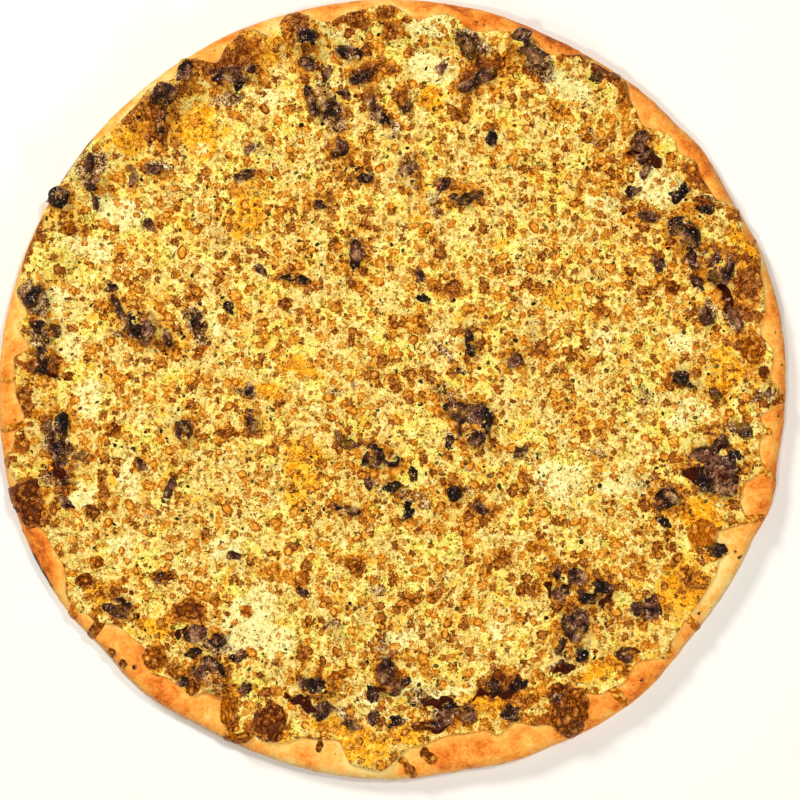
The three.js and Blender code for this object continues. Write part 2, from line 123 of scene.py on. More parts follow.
# Crumbs of steak stuck to the cheese: x, y, size.
STEAK_CRUMBS = [
    (-65, 110, 5), (91, 141, 6.5), (6, 129, 5), (45, 115, 6), (23, 94, 6),
    (109, 91, 6), (141, 83, 6), (120, 58, 6.5), (158, -17, 7), (145, -71, 7),
    (-93, -131, 6), (-32, -145, 8), (-19, -150, 7), (-9, -147, 6),
    (22, -149, 8), (47, -133, 8), (57, -133, 7.5), (53, -145, 7),
    (33, -146, 7), (75, -137, 7.5), (117, -98, 8), (105, -119, 7.5),
    (-111, 76, 5.5), (-127, 47, 5), (12, 53, 5.5),
    (-101, -43, 7), (0, -43, 6.5), (58, -27, 6), (-104, -84, 6.5),
    (-65, 1, 5), (-24, -21, 5.5), (-41, -91, 5.5), (119, -97, 7), (110, -98, 7), (-152, -24, 9),
    (9, -37, 6), (-19, -24, 5.5), (-114, -33, 6), (-142, -29, 6), (-155, -15, 6), (-136, 103, 7),
    (-117, 97, 6), (-29, 128, 8), (-22, 135, 6), (6, 101, 7), (113, 106, 7), (136, 59, 6.5),
    (76, -115, 6.5), (-88, -109, 8), (-70, -120, 6.5), (24, -144, 7), (-161, 42, 7), (-152, 28, 6),
    (114, 100, 6), (77, -90, 8), (88, -93, 8), (-9, -136, 7), (3, -134, 7.5), (-148, -50, 7),
    (85, -119, 6.5), (130, 90, 7), (-30, 144, 6.5), (-134, 86, 6), (-59, 55, 5.5), (7, -54, 6.5),
    (2, -149, 6), (22, 147, 5.5), (26, -22, 5.5), (-90, -118, 6.5), (-68, 140, 6.5), (-72, -74, 5.5),
    (-66, -134, 6), (-11, -42, 5.5), (122, -58, 6), (138, 50, 6), (15, 42, 5.5), (-74, 38, 5.5),
]

# How baked the top of the crust is, how floury and how charred its outer edge
# is: bearing, share.
CRUST_BAKE = [
    (0, 0.5), (12, 0.5), (20, 0.38), (30, 0.55), (35, 0.58), (45, 0.48), (55, 0.58), (66, 0.62), (78, 0.6),
    (85, 0.55), (90, 0.3), (97, 0.52), (102, 0.4), (108, 0.22), (113, 0.6), (118, 0.5), (124, 0.18),
    (132, 0.22), (140, 0.55), (146, 0.5), (155, 0.35), (165, 0.35), (172, 0.42), (180, 0.42), (186, 0.5),
    (192, 0.35), (200, 0.6), (208, 0.58), (214, 0.4), (222, 0.38), (230, 0.55), (240, 0.48), (247, 0.4),
    (255, 0.38), (262, 0.3), (268, 0.12), (275, 0.4), (283, 0.5), (292, 0.48), (300, 0.52), (312, 0.55),
    (320, 0.38), (328, 0.12), (334, 0.15), (340, 0.45), (350, 0.52),
]
EDGE_FLOUR = [
    (0, 0.3), (20, 0.6), (30, 0.5), (45, 0.4), (60, 0.3), (70, 0.15), (90, 0.05), (140, 0.1), (200, 0.1),
    (210, 0.3), (222, 0.8), (240, 0.9), (262, 0.7), (275, 0.6), (290, 0.45), (305, 0.35), (316, 0.65),
    (323, 0.9), (336, 0.85), (342, 0.35), (355, 0.35),
]
EDGE_CHAR = [(0, 0), (30, 0.3), (34, 0), (138, 0), (141, 0.75), (147, 0.7), (149, 0), (202, 0), (205, 0.9),
             (209, 0.85), (212, 0), (272, 0.3), (276, 0)]

# Dark spots on the bare crust: x, y, size.
CRUST_SPOTS = [
    (-121, -123, 4), (-126, -117, 3.4), (-116, -124, 3), (154, -72, 1.8), (157, -74, 1.5), (150, -73, 1.6),
    (112, -130, 1.8), (71, 155, 1.8), (75, 153, 1.6), (38, 166, 1.8), (36, 168.5, 1.6), (41, 165, 1.6),
    (138, -100, 1.8), (156, -75, 1.8), (176, 12, 1.6), (174, -11, 1.8), (-60, -156, 2), (-140, -99, 1.8),
]

# Folds and lumps of cheese that browned: x, y, length, width, turn, tone.
BROWNED_LUMPS = [
    (-55, -149, 14, 15, 0, 0.95), (-166, -47, 14, 12, 40, 0.95), (-162, -55, 11, 9, -20, 0.9),
    (79, -144, 18, 15, 80, 0.7), (75, -136, 8, 7, 0, 1), (48, -131, 9, 7, 80, 0.8),
    (56, -132, 7, 6, 90, 0.8), (33, -146, 9, 6, 10, 0.8), (12, -151, 8, 5, 0, 0.8),
    (-107, -120, 11, 8, -40, 0.6), (-97, -127, 9, 5, 0, 0.6), (-90, -133, 7, 5, 90, 0.7),
    (-92, -99, 13, 9, 0, 0.75), (-104, -84, 11, 5, 5, 0.7), (-139, -85, 7, 6, 0, 0.7),
    (-134, -77, 6, 5, 40, 0.6), (-147, 7, 5, 4, 0, 0.7), (-136, -54, 6, 6, 0, 0.8),
    (-126, -17, 6, 5, 30, 0.7), (-66, -99, 5, 5, 0, 0.5), (-80, -95, 5, 5, 0, 0.5),
    (-49, 40, 6, 5, 0, 0.7), (-17, -79, 8, 7, 20, 0.7), (9, -94, 7, 5, 0, 0.6),
    (18, -93, 5, 5, 0, 0.6), (50, -74, 6, 5, 0, 0.6), (58, -90, 5, 5, 0, 0.6),
    (127, 47, 6, 6, 0, 0.7), (167, 9, 6, 5, 60, 0.8), (33, 138, 9, 6, 15, 0.8),
    (43, 144, 9, 7, 20, 0.8), (115, 80, 9, 5, 0, 0.7), (140, 84, 9, 5, -20, 0.75),
    (93, 144, 9, 5, -30, 0.7), (88, 115, 5, 5, 0, 0.6), (95, 112, 5, 5, 0, 0.6),
    (99, 141, 6.5, 5.5, 0, 0.7), (4, 133, 9, 6, 80, 0.7), (31, 126, 6, 5, 0, 0.6),
    (140, -65, 14, 10, 70, 0.45), (146, -73, 5, 4, 0, 1), (106, -118, 9, 5, 25, 0.7),
    (162, 19, 11, 8, 80, 0.55), (-70, -156, 12, 5, 10, 0.6), (-75, -143, 14, 5, 95, 0.5),
    (-24, -128, 8, 5, 0, 0.6), (63, -70, 6, 5, 0, 0.5), (-145, 73, 7, 5, -10, 0.6),
]

# Pale threads of curled fat and cheese: x, y, length, turn at the start, curl.
PALE_THREADS = [
    (28, -13, 11, 200, 2.4), (35, -36, 9, 60, -2.0), (51, 10, 8, 120, 1.8), (63, 28, 9, 20, -1.6),
    (-142, -33, 12, 250, 2.2), (-31, 111, 8, 330, 1.6), (42, 140, 9, 10, -2.2), (22, 148, 8, 160, 1.4),
    (95, -109, 11, 30, 2.0), (24, -19, 8, 300, -2.6), (140, -30, 9, 100, 1.8), (-20, -20, 7, 40, 2.0),
]

# The longest pieces of herb: x, y, length, width, turn.
HERB_LEAVES = [
    (-45, 112, 4.5, 1.0, 40), (120, 36, 4.5, 0.9, 70), (-144, 56, 4, 1.0, 20), (-137, 48, 4.5, 0.8, 110),
    (-99, 62, 4, 0.9, 60), (-128, 50, 3.6, 0.9, 150), (53, 102, 5, 0.9, 15), (30, 115, 4.4, 1.0, 80),
    (58, 56, 4.6, 0.8, 130), (-60, -30, 4, 0.8, 30), (10, 20, 4.2, 0.8, 95), (70, -50, 4.4, 0.8, 160),
    (-20, 70, 4, 0.9, 10), (100, 10, 4, 0.8, 45), (-95, -20, 4.4, 0.8, 120), (0, -60, 4, 0.9, 70),
]

# Where the cheese looks different, as soft ellipses: x, y, length, width, turn
# and strength. Browned in the oven, over meat, pale, buttery, and under sauce.
BROWNED_PATCHES = [
    (-72, 151, 27, 16, 20, 0.9), (-105, 122, 23, 6, 95, 0.8), (-117, 122, 18, 17, 0, 0.45),
    (-162, 71, 23, 7, 75, 0.8), (-143, 74, 12, 4, -10, 0.6), (-47, 167, 15, 8, 10, 0.8),
    (-19, 166, 15, 7, 15, 0.9), (-3, 170, 10, 8, 0, 0.8), (1, 162, 12, 5, 0, 0.8),
    (8, 167, 12, 6, 0, 0.7), (-8, 145, 23, 6, 10, 0.8), (3, 133, 9, 5, 80, 0.6),
    (31, 126, 6, 5, 0, 0.6), (40, 145, 21, 8, 25, 0.9), (83, 151, 16, 5, 0, 0.7),
    (93, 144, 9, 5, -40, 0.8), (104, 133, 15, 8, 100, 0.8), (86, 93, 20, 4, 63, 0.7),
    (76, 129, 8, 5, 0, 0.7), (138, 97, 15, 12, -50, 0.9), (100, 98, 12, 5, -35, 0.7),
    (106, 82, 7, 5, -30, 0.7), (156, 81, 15, 6, 15, 0.6), (161, 49, 23, 8, 95, 0.9),
    (163, 35, 11, 6, 0, 0.9), (165, 62, 18, 7, 100, 0.7), (162, 19, 14, 10, 100, 0.8),
    (167, 9, 7, 7, 0, 0.8), (26, 46, 14, 10, 0, 0.7), (12, 33, 12, 6, 0, 0.7),
    (-13, 49, 10, 5, 0, 0.4), (-44, 24, 12, 5, 100, 0.7), (-51, 19, 6, 5, 0, 0.6),
    (-49, 40, 5, 5, 0, 0.7), (-90, 44, 7, 5, 0, 0.7), (-88, 19, 8, 5, 40, 0.8),
    (-126, -17, 6, 6, 0, 0.8), (-133, -42, 11, 6, 80, 0.7), (-136, -54, 6, 6, 0, 0.9),
    (-114, -33, 7, 5, 0, 0.7), (-75, -19, 5, 5, 0, 0.7), (-169, 14, 7, 5, -70, 0.8),
    (-165, -4, 15, 5, -60, 0.9), (-169, -15, 14, 4, 12, 0.8), (-168, -24, 11, 9, 0, 0.8),
    (-173, -32, 7, 5, 0, 0.8), (-158, 12, 18, 7, 5, 0.9), (-149, -40, 14, 8, -40, 0.8),
    (-165, -49, 19, 18, 0, 0.9), (-149, -52, 12, 5, 100, 0.6), (-151, -74, 12, 4, -65, 0.5),
    (-139, -85, 7, 6, 0, 0.8), (-134, -77, 6, 6, 0, 0.7), (-124, -87, 9, 4, -10, 0.6),
    (-117, -84, 9, 6, -40, 0.6), (-104, -84, 11, 5, 5, 0.7), (-146, -97, 15, 6, 100, 0.9),
    (-134, -104, 12, 6, 80, 0.9), (-107, -120, 10, 8, -45, 0.9), (-97, -127, 10, 5, 0, 0.7),
    (-90, -133, 8, 5, 90, 0.8), (-92, -99, 14, 10, 0, 0.6), (-86, -65, 7, 5, 0, 0.6),
    (-66, -99, 6, 5, 0, 0.6), (-73, -146, 20, 8, 95, 0.8), (-67, -158, 14, 5, 10, 0.9),
    (-55, -149, 15, 15, 0, 0.9), (-58, -136, 11, 5, 0, 0.7), (-42, -86, 16, 6, 75, 0.7),
    (-17, -79, 8, 8, 0, 0.8), (-54, -79, 15, 13, 0, 0.45), (-31, -70, 7, 5, 0, 0.6),
    (-29, -93, 7, 4, -30, 0.7), (9, -94, 7, 6, 0, 0.7), (18, -93, 5, 5, 0, 0.7),
    (12, -64, 7, 5, 0, 0.7), (43, -80, 9, 5, -65, 0.7), (50, -75, 6, 5, 0, 0.7),
    (56, -104, 8, 5, 70, 0.6), (33, -103, 13, 5, 100, 0.5), (43, -120, 5, 5, 0, 0.7),
    (51, -133, 18, 11, 0, 0.9), (33, -146, 9, 5, 0, 0.9), (20, -152, 26, 5, 5, 0.9),
    (-10, -148, 5, 5, 0, 0.8), (-40, -119, 6, 7, 0, 0.6), (-22, -128, 12, 6, 0, 0.5),
    (3, -129, 9, 8, 0, 0.6), (60, -140, 11, 7, 0, 0.8), (67, -149, 14, 6, -10, 0.8),
    (79, -144, 19, 17, 90, 1), (75, -136, 8, 7, 0, 0.9), (69, -70, 10, 5, 95, 0.6),
    (63, -90, 6, 5, 0, 0.6), (111, -77, 10, 5, -50, 0.6), (140, -65, 15, 11, -50, 0.7),
    (136, -86, 15, 15, 0, 0.5), (101, -120, 20, 14, 30, 0.6), (127, -77, 9, 6, 50, 0.6),
    (127, 47, 6, 6, 0, 0.9), (114, 46, 10, 5, 20, 0.7), (95, 37, 9, 8, 90, 0.8),
    (110, 24, 11, 6, 10, 0.6), (69, 17, 15, 6, -10, 0.6), (87, -19, 8, 5, -60, 0.6),
]

MEATY_PATCHES = [
    (-136, 103, 21, 14, 60, 0.8), (-106, 101, 12, 5, -10, 0.8), (-99, 90, 18, 11, 0, 0.4),
    (-111, 76, 5, 5, 0, 0.7), (-90, 78, 6, 5, 0, 0.7), (-79, 69, 13, 12, 0, 0.5),
    (-65, 97, 10, 6, 90, 0.7), (-63, 110, 12, 5, 0, 0.6), (-74, 133, 18, 7, 20, 0.8),
    (-29, 128, 29, 15, -60, 0.7), (-19, 152, 15, 7, 0, 0.8), (-3, 122, 26, 7, -50, 0.8),
    (35, 158, 18, 11, -35, 0.9), (6, 101, 18, 11, 70, 0.6), (19, 85, 12, 6, 90, 0.6),
    (47, 110, 10, 8, 0, 0.4), (49, 81, 7, 5, 0, 0.6), (-33, 77, 11, 5, 0, 0.4),
    (-57, 108, 14, 9, 0, 0.5), (-33, 101, 9, 6, 0, 0.5), (-17, 65, 12, 9, 90, 0.8),
    (67, 147, 15, 10, -40, 0.8), (90, 114, 14, 7, -25, 0.7), (101, 87, 15, 6, -20, 0.5),
    (113, 106, 18, 12, 90, 0.5), (115, 80, 10, 5, 0, 0.8), (140, 84, 10, 6, 0, 0.8),
    (136, 62, 18, 14, 0, 0.5), (67, 102, 8, 4, 0, 0.6), (-161, 42, 20, 13, -60, 0.9),
    (-158, 24, 12, 11, 0, 0.8), (-152, 28, 15, 11, 0, 0.5), (-152, -22, 20, 15, 90, 0.8),
    (-142, -29, 15, 7, -20, 0.6), (-152, -38, 14, 11, -40, 0.7), (-125, 26, 5, 5, 0, 0.8),
    (-89, 30, 20, 9, -80, 0.8), (-111, -54, 12, 7, 0, 0.5), (-86, -52, 13, 12, 0, 0.35),
    (-67, 0, 14, 5, -10, 0.7), (-57, -12, 18, 14, 60, 0.4), (24, 17, 11, 4, -38, 0.9),
    (24, -1, 15, 12, -60, 0.6), (-26, 0, 12, 5, -35, 0.6), (-17, 2, 6, 5, 0, 0.9),
    (31, 9, 6, 5, -30, 0.9), (10, -48, 15, 7, -20, 0.7), (-6, -45, 11, 5, -60, 0.6),
    (-24, -53, 15, 5, -15, 0.6), (35, -45, 18, 5, 80, 0.6), (-22, 49, 9, 4, -20, 0.5),
    (28, 42, 6, 5, 0, 0.6), (63, 28, 12, 12, 0, 0.5), (113, 0, 12, 6, -20, 0.6),
    (92, -29, 10, 5, 0, 0.6), (115, -42, 20, 12, -20, 0.5), (156, -15, 11, 5, 0, 0.9),
    (165, -3, 6, 5, 90, 0.8), (144, 37, 12, 6, -70, 0.9), (154, 33, 15, 6, -65, 0.8),
    (-79, -115, 15, 10, 0, 0.9), (-88, -109, 15, 14, -60, 0.6), (-74, -73, 21, 15, 0, 0.35),
    (-24, -109, 18, 9, -20, 0.6), (-19, -99, 16, 6, 0, 0.35), (-8, -91, 9, 7, 0, 0.6),
    (-33, -77, 11, 8, 90, 0.4), (-29, -144, 26, 6, -5, 0.8), (10, -139, 15, 10, 0, 0.7),
    (17, -135, 12, 5, 0, 0.6), (-3, -115, 15, 9, -70, 0.6), (76, -115, 14, 11, 0, 0.5),
    (96, -105, 14, 7, 20, 0.5), (76, -123, 12, 5, 30, 0.8), (115, -98, 14, 7, 0, 0.7),
    (24, -146, 14, 10, 0, 0.8),
]

PALE_PATCHES = [
    (-124, 81, 23, 12, -20, 1), (-137, 66, 21, 11, -10, 0.9), (-152, 42, 13, 8, 90, 0.8),
    (-145, 20, 14, 9, 90, 0.9), (-137, -3, 19, 12, 90, 1), (-140, -47, 14, 10, 60, 0.9),
    (-81, 32, 15, 6, 90, 0.6), (-120, -40, 23, 8, 90, 0.8), (17, 147, 20, 14, 0, 0.8),
    (-22, 160, 12, 7, 0, 0.6), (15, 164, 23, 8, 0, 0.9), (79, 138, 23, 9, -25, 0.9),
    (120, 92, 20, 15, -20, 1), (131, 21, 12, 7, -30, 0.8), (129, -15, 9, 7, 0, 0.8),
    (-65, -104, 32, 18, 60, 1), (-124, -70, 14, 9, 0, 0.7), (3, -113, 12, 9, 0, 0.9),
    (47, -109, 7, 7, 0, 0.8), (-54, -113, 18, 13, 0, 0.8), (25, -136, 18, 5, 8, 0.9),
    (76, -40, 23, 18, 0, 0.7), (95, 85, 16, 6, -15, 0.8), (-56, 133, 11, 9, 0, 0.7),
    (8, -136, 15, 10, 0, 0.7), (-10, -140, 15, 7, 0, 0.7), (136, -8, 15, 8, 0, 0.8),
    (104, -42, 23, 9, 0, 0.7), (-76, -70, 18, 12, 0, 0.6), (-24, 140, 14, 6, 20, 0.5),
    (95, 24, 14, 14, 0, 0.6), (22, 24, 27, 18, 0, 0.4), (-88, 110, 9, 7, 0, 0.5),
]

GOLDEN_PATCHES = [
    (-88, 119, 23, 23, 0, 0.8), (-65, 81, 23, 14, 90, 0.8), (-117, 115, 18, 12, 30, 0.7),
    (19, 132, 14, 11, -50, 0.9), (-42, -36, 27, 20, 90, 0.6), (-42, 11, 18, 6, -15, 0.8),
    (-56, 2, 9, 7, 0, 0.9), (-15, -161, 27, 10, 0, 1), (45, -140, 21, 11, 0, 1),
    (3, -156, 20, 7, 0, 0.9), (-106, -108, 18, 7, -15, 1), (-133, -90, 14, 8, -30, 0.8),
    (140, -56, 20, 12, -20, 1), (129, -90, 23, 20, 45, 0.8), (150, 10, 23, 16, 80, 0.7),
    (163, 56, 27, 12, 90, 0.9), (156, 71, 12, 9, 0, 0.9), (95, -125, 26, 7, 20, 0.9),
    (-24, -152, 27, 7, -8, 0.8), (117, 76, 14, 7, 0, 0.6), (76, 42, 15, 11, 0, 0.5),
    (-152, -88, 18, 6, -60, 0.7), (-58, 158, 11, 18, 0, 0.7), (122, 124, 23, 7, -40, 0.8),
    (136, 110, 23, 6, -55, 0.7), (-81, -140, 12, 6, -30, 0.6),
]

SAUCE_PATCHES = [
    (116, 106, 14, 9, -40, 1), (110, 110, 10, 6, 60, 0.8), (151, 42, 20, 6, -70, 0.8),
    (140, -39, 15, 9, -20, 1), (150, -36, 12, 12, 0, 0.7), (-96, -109, 11, 4, 70, 0.9),
    (-42, -140, 16, 5, -30, 0.9), (22, -141, 23, 5, -10, 0.8), (48, -137, 21, 3, 3, 1),
    (77, -125, 12, 4, 30, 1), (70, -89, 12, 4, -70, 0.9), (97, -95, 12, 4, 55, 0.7),
    (18, -153, 18, 4, 5, 0.8), (-4, -136, 15, 6, -10, 0.6), (-150, -36, 18, 6, -55, 0.7),
    (-155, 9, 14, 5, -30, 0.7),
]

# ---------------------------------------------------------------- noise

PRIMES = (374761393, 668265263, 974634777)
FOLDING_PRIME = 1274126177
LOW_32_BITS = 0xFFFFFFFF
HALF_RANGE = 2 ** 31 - 0.5
ROUGHER_SHIFT = 31  # how far apart the finer and finer noises start

# Where each kind of noise is cut, far enough from the others to look unrelated.
LAYER = {
    "lumps": 1, "ripples": 2, "strand tone": 3, "strand wander": 5, "rim": 7, "strand swell": 11,
    "shreds": 12, "strand bubbles": 23, "shreds x": 41, "shreds y": 57, "patch x": 61, "patch y": 67,
    "broad heat": 71, "local heat": 83, "flecks": 91, "creep": 95, "cover": 101,
}


def grid_value(ix, iy, iz):
    """A repeatable number from -1 to 1 for each point of a whole-number grid."""
    h = (ix * PRIMES[0] + iy * PRIMES[1] + iz * PRIMES[2]) & LOW_32_BITS
    h = ((h ^ (h >> 13)) * FOLDING_PRIME) & LOW_32_BITS
    h ^= h >> 16
    return h / HALF_RANGE - 1


def noise(x, y, z):
    """Smooth noise from -1 to 1 over space, with lumps about one unit across."""
    x, y, z = np.broadcast_arrays(*(np.asarray(v, float) for v in (x, y, z)))
    ix, iy, iz = (np.floor(v).astype(np.int64) for v in (x, y, z))
    tx, ty, tz = (t * t * (3 - 2 * t) for t in (x - ix, y - iy, z - iz))
    total = np.zeros(x.shape)
    for dx in (0, 1):
        for dy in (0, 1):
            for dz in (0, 1):
                share = (tx if dx else 1 - tx) * (ty if dy else 1 - ty) * (tz if dz else 1 - tz)
                total += share * grid_value(ix + dx, iy + dy, iz + dz)
    return total


def rough_noise(x, y, z, octaves):
    """Noise with finer and finer noise on top, each half as strong as the last."""
    total, strength = 0, 1
    for octave in range(octaves):
        finer = 2 ** octave
        total = total + strength * noise(x * finer, y * finer, z * finer + ROUGHER_SHIFT * octave)
        strength /= 2
    return total


# ---------------------------------------------------------------- shape of the pizza

def smoothstep(value, low, high):
    """From 0 at low to 1 at high, with a soft start and end."""
    t = np.clip((value - low) / (high - low), 0, 1)
    return t * t * (3 - 2 * t)


def round_table(table, bearing):
    """Reads a closed list of bearing and value at any bearings."""
    at = np.array([row[0] for row in table] + [table[0][0] + 360.0])
    values = np.array([row[1] for row in table] + [table[0][1]])
    turned = np.mod(bearing, 360.0)
    i = np.clip(np.searchsorted(at, turned, side="right") - 1, 0, len(table) - 1)
    t = smoothstep(turned, at[i], at[i + 1])
    return values[i] + (values[i + 1] - values[i]) * t


def bearing_of(x, y):
    return np.degrees(np.arctan2(y, x))


def crust_radius(bearing):
    return round_table(CRUST_EDGE, bearing)


def cheese_radius(bearing):
    return np.minimum(round_table(CHEESE_EDGE, bearing), crust_radius(bearing) - LEAST_BARE_CRUST)


def dough_height(bearing, inset):
    """Top of the dough and its rim, at a bearing and an inset from the outer edge."""
    a = np.radians(bearing)
    crest = RIM_HEIGHT + RIM_HEIGHT_SPREAD * noise(3 * np.cos(a), 3 * np.sin(a), LAYER["rim"])
    t = 1 - np.clip(inset, 0, RIM_CREST_INSET) / RIM_CREST_INSET
    outside = RIM_BULGE_HEIGHT + (crest - RIM_BULGE_HEIGHT) * np.sqrt(np.maximum(1 - t * t, 0))
    inside = crest + (DOUGH_THICKNESS - crest) * smoothstep(inset, RIM_CREST_INSET, RIM_INSET)
    return np.where(inset < RIM_CREST_INSET, outside, inside)


def dough_height_at(x, y):
    bearing = bearing_of(x, y)
    return dough_height(bearing, crust_radius(bearing) - np.hypot(x, y))


def cheese_height_at(x, y):
    """Top of the cheese, before its blisters and its fine relief."""
    inset = cheese_radius(bearing_of(x, y)) - np.hypot(x, y)
    dough = dough_height_at(x, y)
    climbed = smoothstep(dough, DOUGH_THICKNESS, RIM_HEIGHT)
    lumps = (CHEESE_LUMPS * noise(x / LUMP_SPAN, y / LUMP_SPAN, LAYER["lumps"])
             + CHEESE_RIPPLES * noise(x / RIPPLE_SPAN, y / RIPPLE_SPAN, LAYER["ripples"]))
    full = (CHEESE_THICKNESS + lumps) * (1 - climbed) + (CHEESE_ON_RIM + lumps / 3) * climbed
    run = np.clip(inset / CHEESE_EDGE_RUN, 0, 1)
    thickness = CHEESE_LIP + (full - CHEESE_LIP) * np.sqrt(run * (2 - run))
    return dough + GAP + thickness


PATCH_WANDER = 2.2
PATCH_GRAIN = 5.0
PATCH_FADE = (0.6, 1.5)  # where a patch starts and ends to fade, with 1 at its outline


def patchwork(rows, x, y):
    """Strength, from 0 to 1, of a list of soft and ragged patches."""
    moved_x = x + PATCH_WANDER * rough_noise(x / PATCH_GRAIN, y / PATCH_GRAIN, LAYER["patch x"], 2)
    moved_y = y + PATCH_WANDER * rough_noise(x / PATCH_GRAIN, y / PATCH_GRAIN, LAYER["patch y"], 2)
    total = np.zeros(len(x))
    for middle_x, middle_y, length, width, turn, strength in rows:
        a = math.radians(turn)
        along = (moved_x - middle_x) * math.cos(a) + (moved_y - middle_y) * math.sin(a)
        across = (moved_y - middle_y) * math.cos(a) - (moved_x - middle_x) * math.sin(a)
        away = 2 * np.hypot(along / length, across / width)
        total = np.maximum(total, strength * (1 - smoothstep(away, *PATCH_FADE)))
    return total


# ---------------------------------------------------------------- making meshes

def make_object(name, points, faces, attributes=None, sharp=None):
    """A smooth-shaded piece from points in millimetres, as the shape functions give them.
    Edges whose two points are both marked sharp keep the shading of each side apart."""
    mesh = bpy.data.meshes.new(name)
    placed = np.array(points, float)
    placed[:, 0] += OUTLINE_SHIFT[0]
    placed[:, 1] += OUTLINE_SHIFT[1]
    placed *= MM
    faces = np.asarray(faces, np.int32)
    corners = faces.shape[1]
    mesh.vertices.add(len(placed))
    mesh.vertices.foreach_set("co", placed.astype(np.float32).ravel())
    mesh.loops.add(faces.size)
    mesh.loops.foreach_set("vertex_index", faces.ravel())
    mesh.polygons.add(len(faces))
    mesh.polygons.foreach_set("loop_start", np.arange(0, faces.size, corners, dtype=np.int32))
    mesh.update(calc_edges=True)
    mesh.validate()
    mesh.shade_smooth()
    for key, values in (attributes or {}).items():
        layer = mesh.attributes.new(key, "FLOAT", "POINT")
        layer.data.foreach_set("value", np.asarray(values, np.float32))
    if sharp is not None:
        ends = np.zeros(2 * len(mesh.edges), np.int32)
        mesh.edges.foreach_get("vertices", ends)
        layer = mesh.attributes.new("sharp_edge", "BOOLEAN", "EDGE")
        layer.data.foreach_set("value", sharp[ends.reshape(-1, 2)].all(axis=1))
    piece = bpy.data.objects.new(name, mesh)
    bpy.context.scene.collection.objects.link(piece)
    return piece


def ring_faces(before, after):
    """Triangles between two rings with the same number of points."""
    nb, na = np.roll(before, -1), np.roll(after, -1)
    return np.concatenate([np.stack([before, nb, after], 1), np.stack([nb, na, after], 1)])


def cap_faces(ring, middle, above):
    """Triangles from a ring to a point in its middle, above or below the ring."""
    nxt = np.roll(ring, -1)
    middles = np.full(len(ring), middle)
    return np.stack([middles, ring, nxt] if above else [middles, nxt, ring], 1)


def tube_faces(rings, sides):
    """Faces of a tube of rings, closed at the two tips that follow its last ring."""
    lines = np.arange(rings * sides).reshape(rings, sides)
    start_tip = rings * sides
    faces = [ring_faces(lines[i], lines[i + 1]) for i in range(rings - 1)]
    faces += [cap_faces(lines[0], start_tip, False), cap_faces(lines[-1], start_tip + 1, True)]
    return np.concatenate(faces)


def flat_tree(spots):
    """Finds the nearest of many spots, seen from above."""
    tree = KDTree(len(spots))
    for i, (x, y) in enumerate(spots):
        tree.insert((x, y, 0), i)
    tree.balance()
    return tree


def dress(piece, finish, node):
    """Gives a finished piece its material and its place in the frame."""
    piece.data.materials.clear()
    piece.data.materials.append(FINISHES[finish])
    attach(piece, "root")
    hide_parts(node)
    return piece


# ---------------------------------------------------------------- finishes

def colour(code):
    """Linear colour from a hex code."""
    parts = [int(code[i:i + 2], 16) / 255 for i in (0, 2, 4)]
    return (*[c / 12.92 if c <= 0.04045 else ((c + 0.055) / 1.055) ** 2.4 for c in parts], 1)


MIDDLE_OF_NOISE = (0.5, 0.5, 0.5)


class Graph:
    """Nodes of a finish or of a layout. Sizes are in millimetres."""

    def __init__(self, tree):
        self.tree = tree

    def link(self, source, target):
        self.tree.links.new(source, target)

    def add(self, kind, inputs=None, **settings):
        node = self.tree.nodes.new(kind)
        for key, value in settings.items():
            setattr(node, key, value)
        for key, value in (inputs or {}).items():
            socket = node.inputs[key]
            if isinstance(value, bpy.types.NodeSocket):
                self.link(value, socket)
            else:
                socket.default_value = value
        return node

    def noise(self, size, detail=3, rough=0.55, at=None, warp=0.0, output="Fac", flat=False):
        """Noise from 0 to 1 with lumps of a size. Flat noise is the same at every height."""
        values = {"Vector": at or self.place, "Scale": 1 / (size * MM), "Detail": detail,
                  "Roughness": rough, "Distortion": warp}
        node = self.add("ShaderNodeTexNoise", values, noise_dimensions="2D" if flat else "3D")
        return node.outputs[output]

    def cells(self, size, at=None, flat=False):
        """Random cells of a size: distance from each one's middle, and its random colour."""
        values = {"Vector": at or self.place, "Scale": 1 / (size * MM)}
        node = self.add("ShaderNodeTexVoronoi", values, voronoi_dimensions="2D" if flat else "3D")
        return node.outputs["Distance"], node.outputs["Color"]

    def calc(self, operation, *terms):
        """One step of arithmetic."""
        values = dict(enumerate(terms))
        return self.add("ShaderNodeMath", values, operation=operation).outputs[0]

    def plus(self, *terms):
        total = terms[0]
        for term in terms[1:]:
            total = self.calc("ADD", total, term)
        return total

    def around_zero(self, value, strength):
        """A value from 0 to 1 made to swing about zero."""
        return self.calc("MULTIPLY_ADD", value, strength, -strength / 2)

    def span(self, value, low, high, to_low=0.0, to_high=1.0):
        values = {"Value": value, "From Min": low, "From Max": high, "To Min": to_low, "To Max": to_high}
        return self.add("ShaderNodeMapRange", values).outputs["Result"]

    def vector(self, operation, *terms):
        """One step of vector arithmetic."""
        values = dict(enumerate(terms))
        return self.add("ShaderNodeVectorMath", values, operation=operation).outputs[0]

    def scaled(self, vector, scale):
        """A vector made longer or shorter."""
        values = {0: vector, "Scale": scale}
        return self.add("ShaderNodeVectorMath", values, operation="SCALE").outputs[0]

    def parts(self, vector):
        return self.add("ShaderNodeSeparateXYZ", {0: vector}).outputs

    def pushed(self, size, reach, detail, flat=False):
        """The place, pushed any way by noise."""
        push = self.noise(size, detail, output="Color", flat=flat)
        centred = self.vector("SUBTRACT", push, MIDDLE_OF_NOISE)
        return self.vector("ADD", self.place, self.scaled(centred, reach * MM))

    def warped(self, size, reach, offset):
        """The place, pushed sideways by noise, so that round patterns turn ragged."""
        return self.vector("ADD", self.pushed(size, reach, 2, flat=True), (offset, offset, 0))


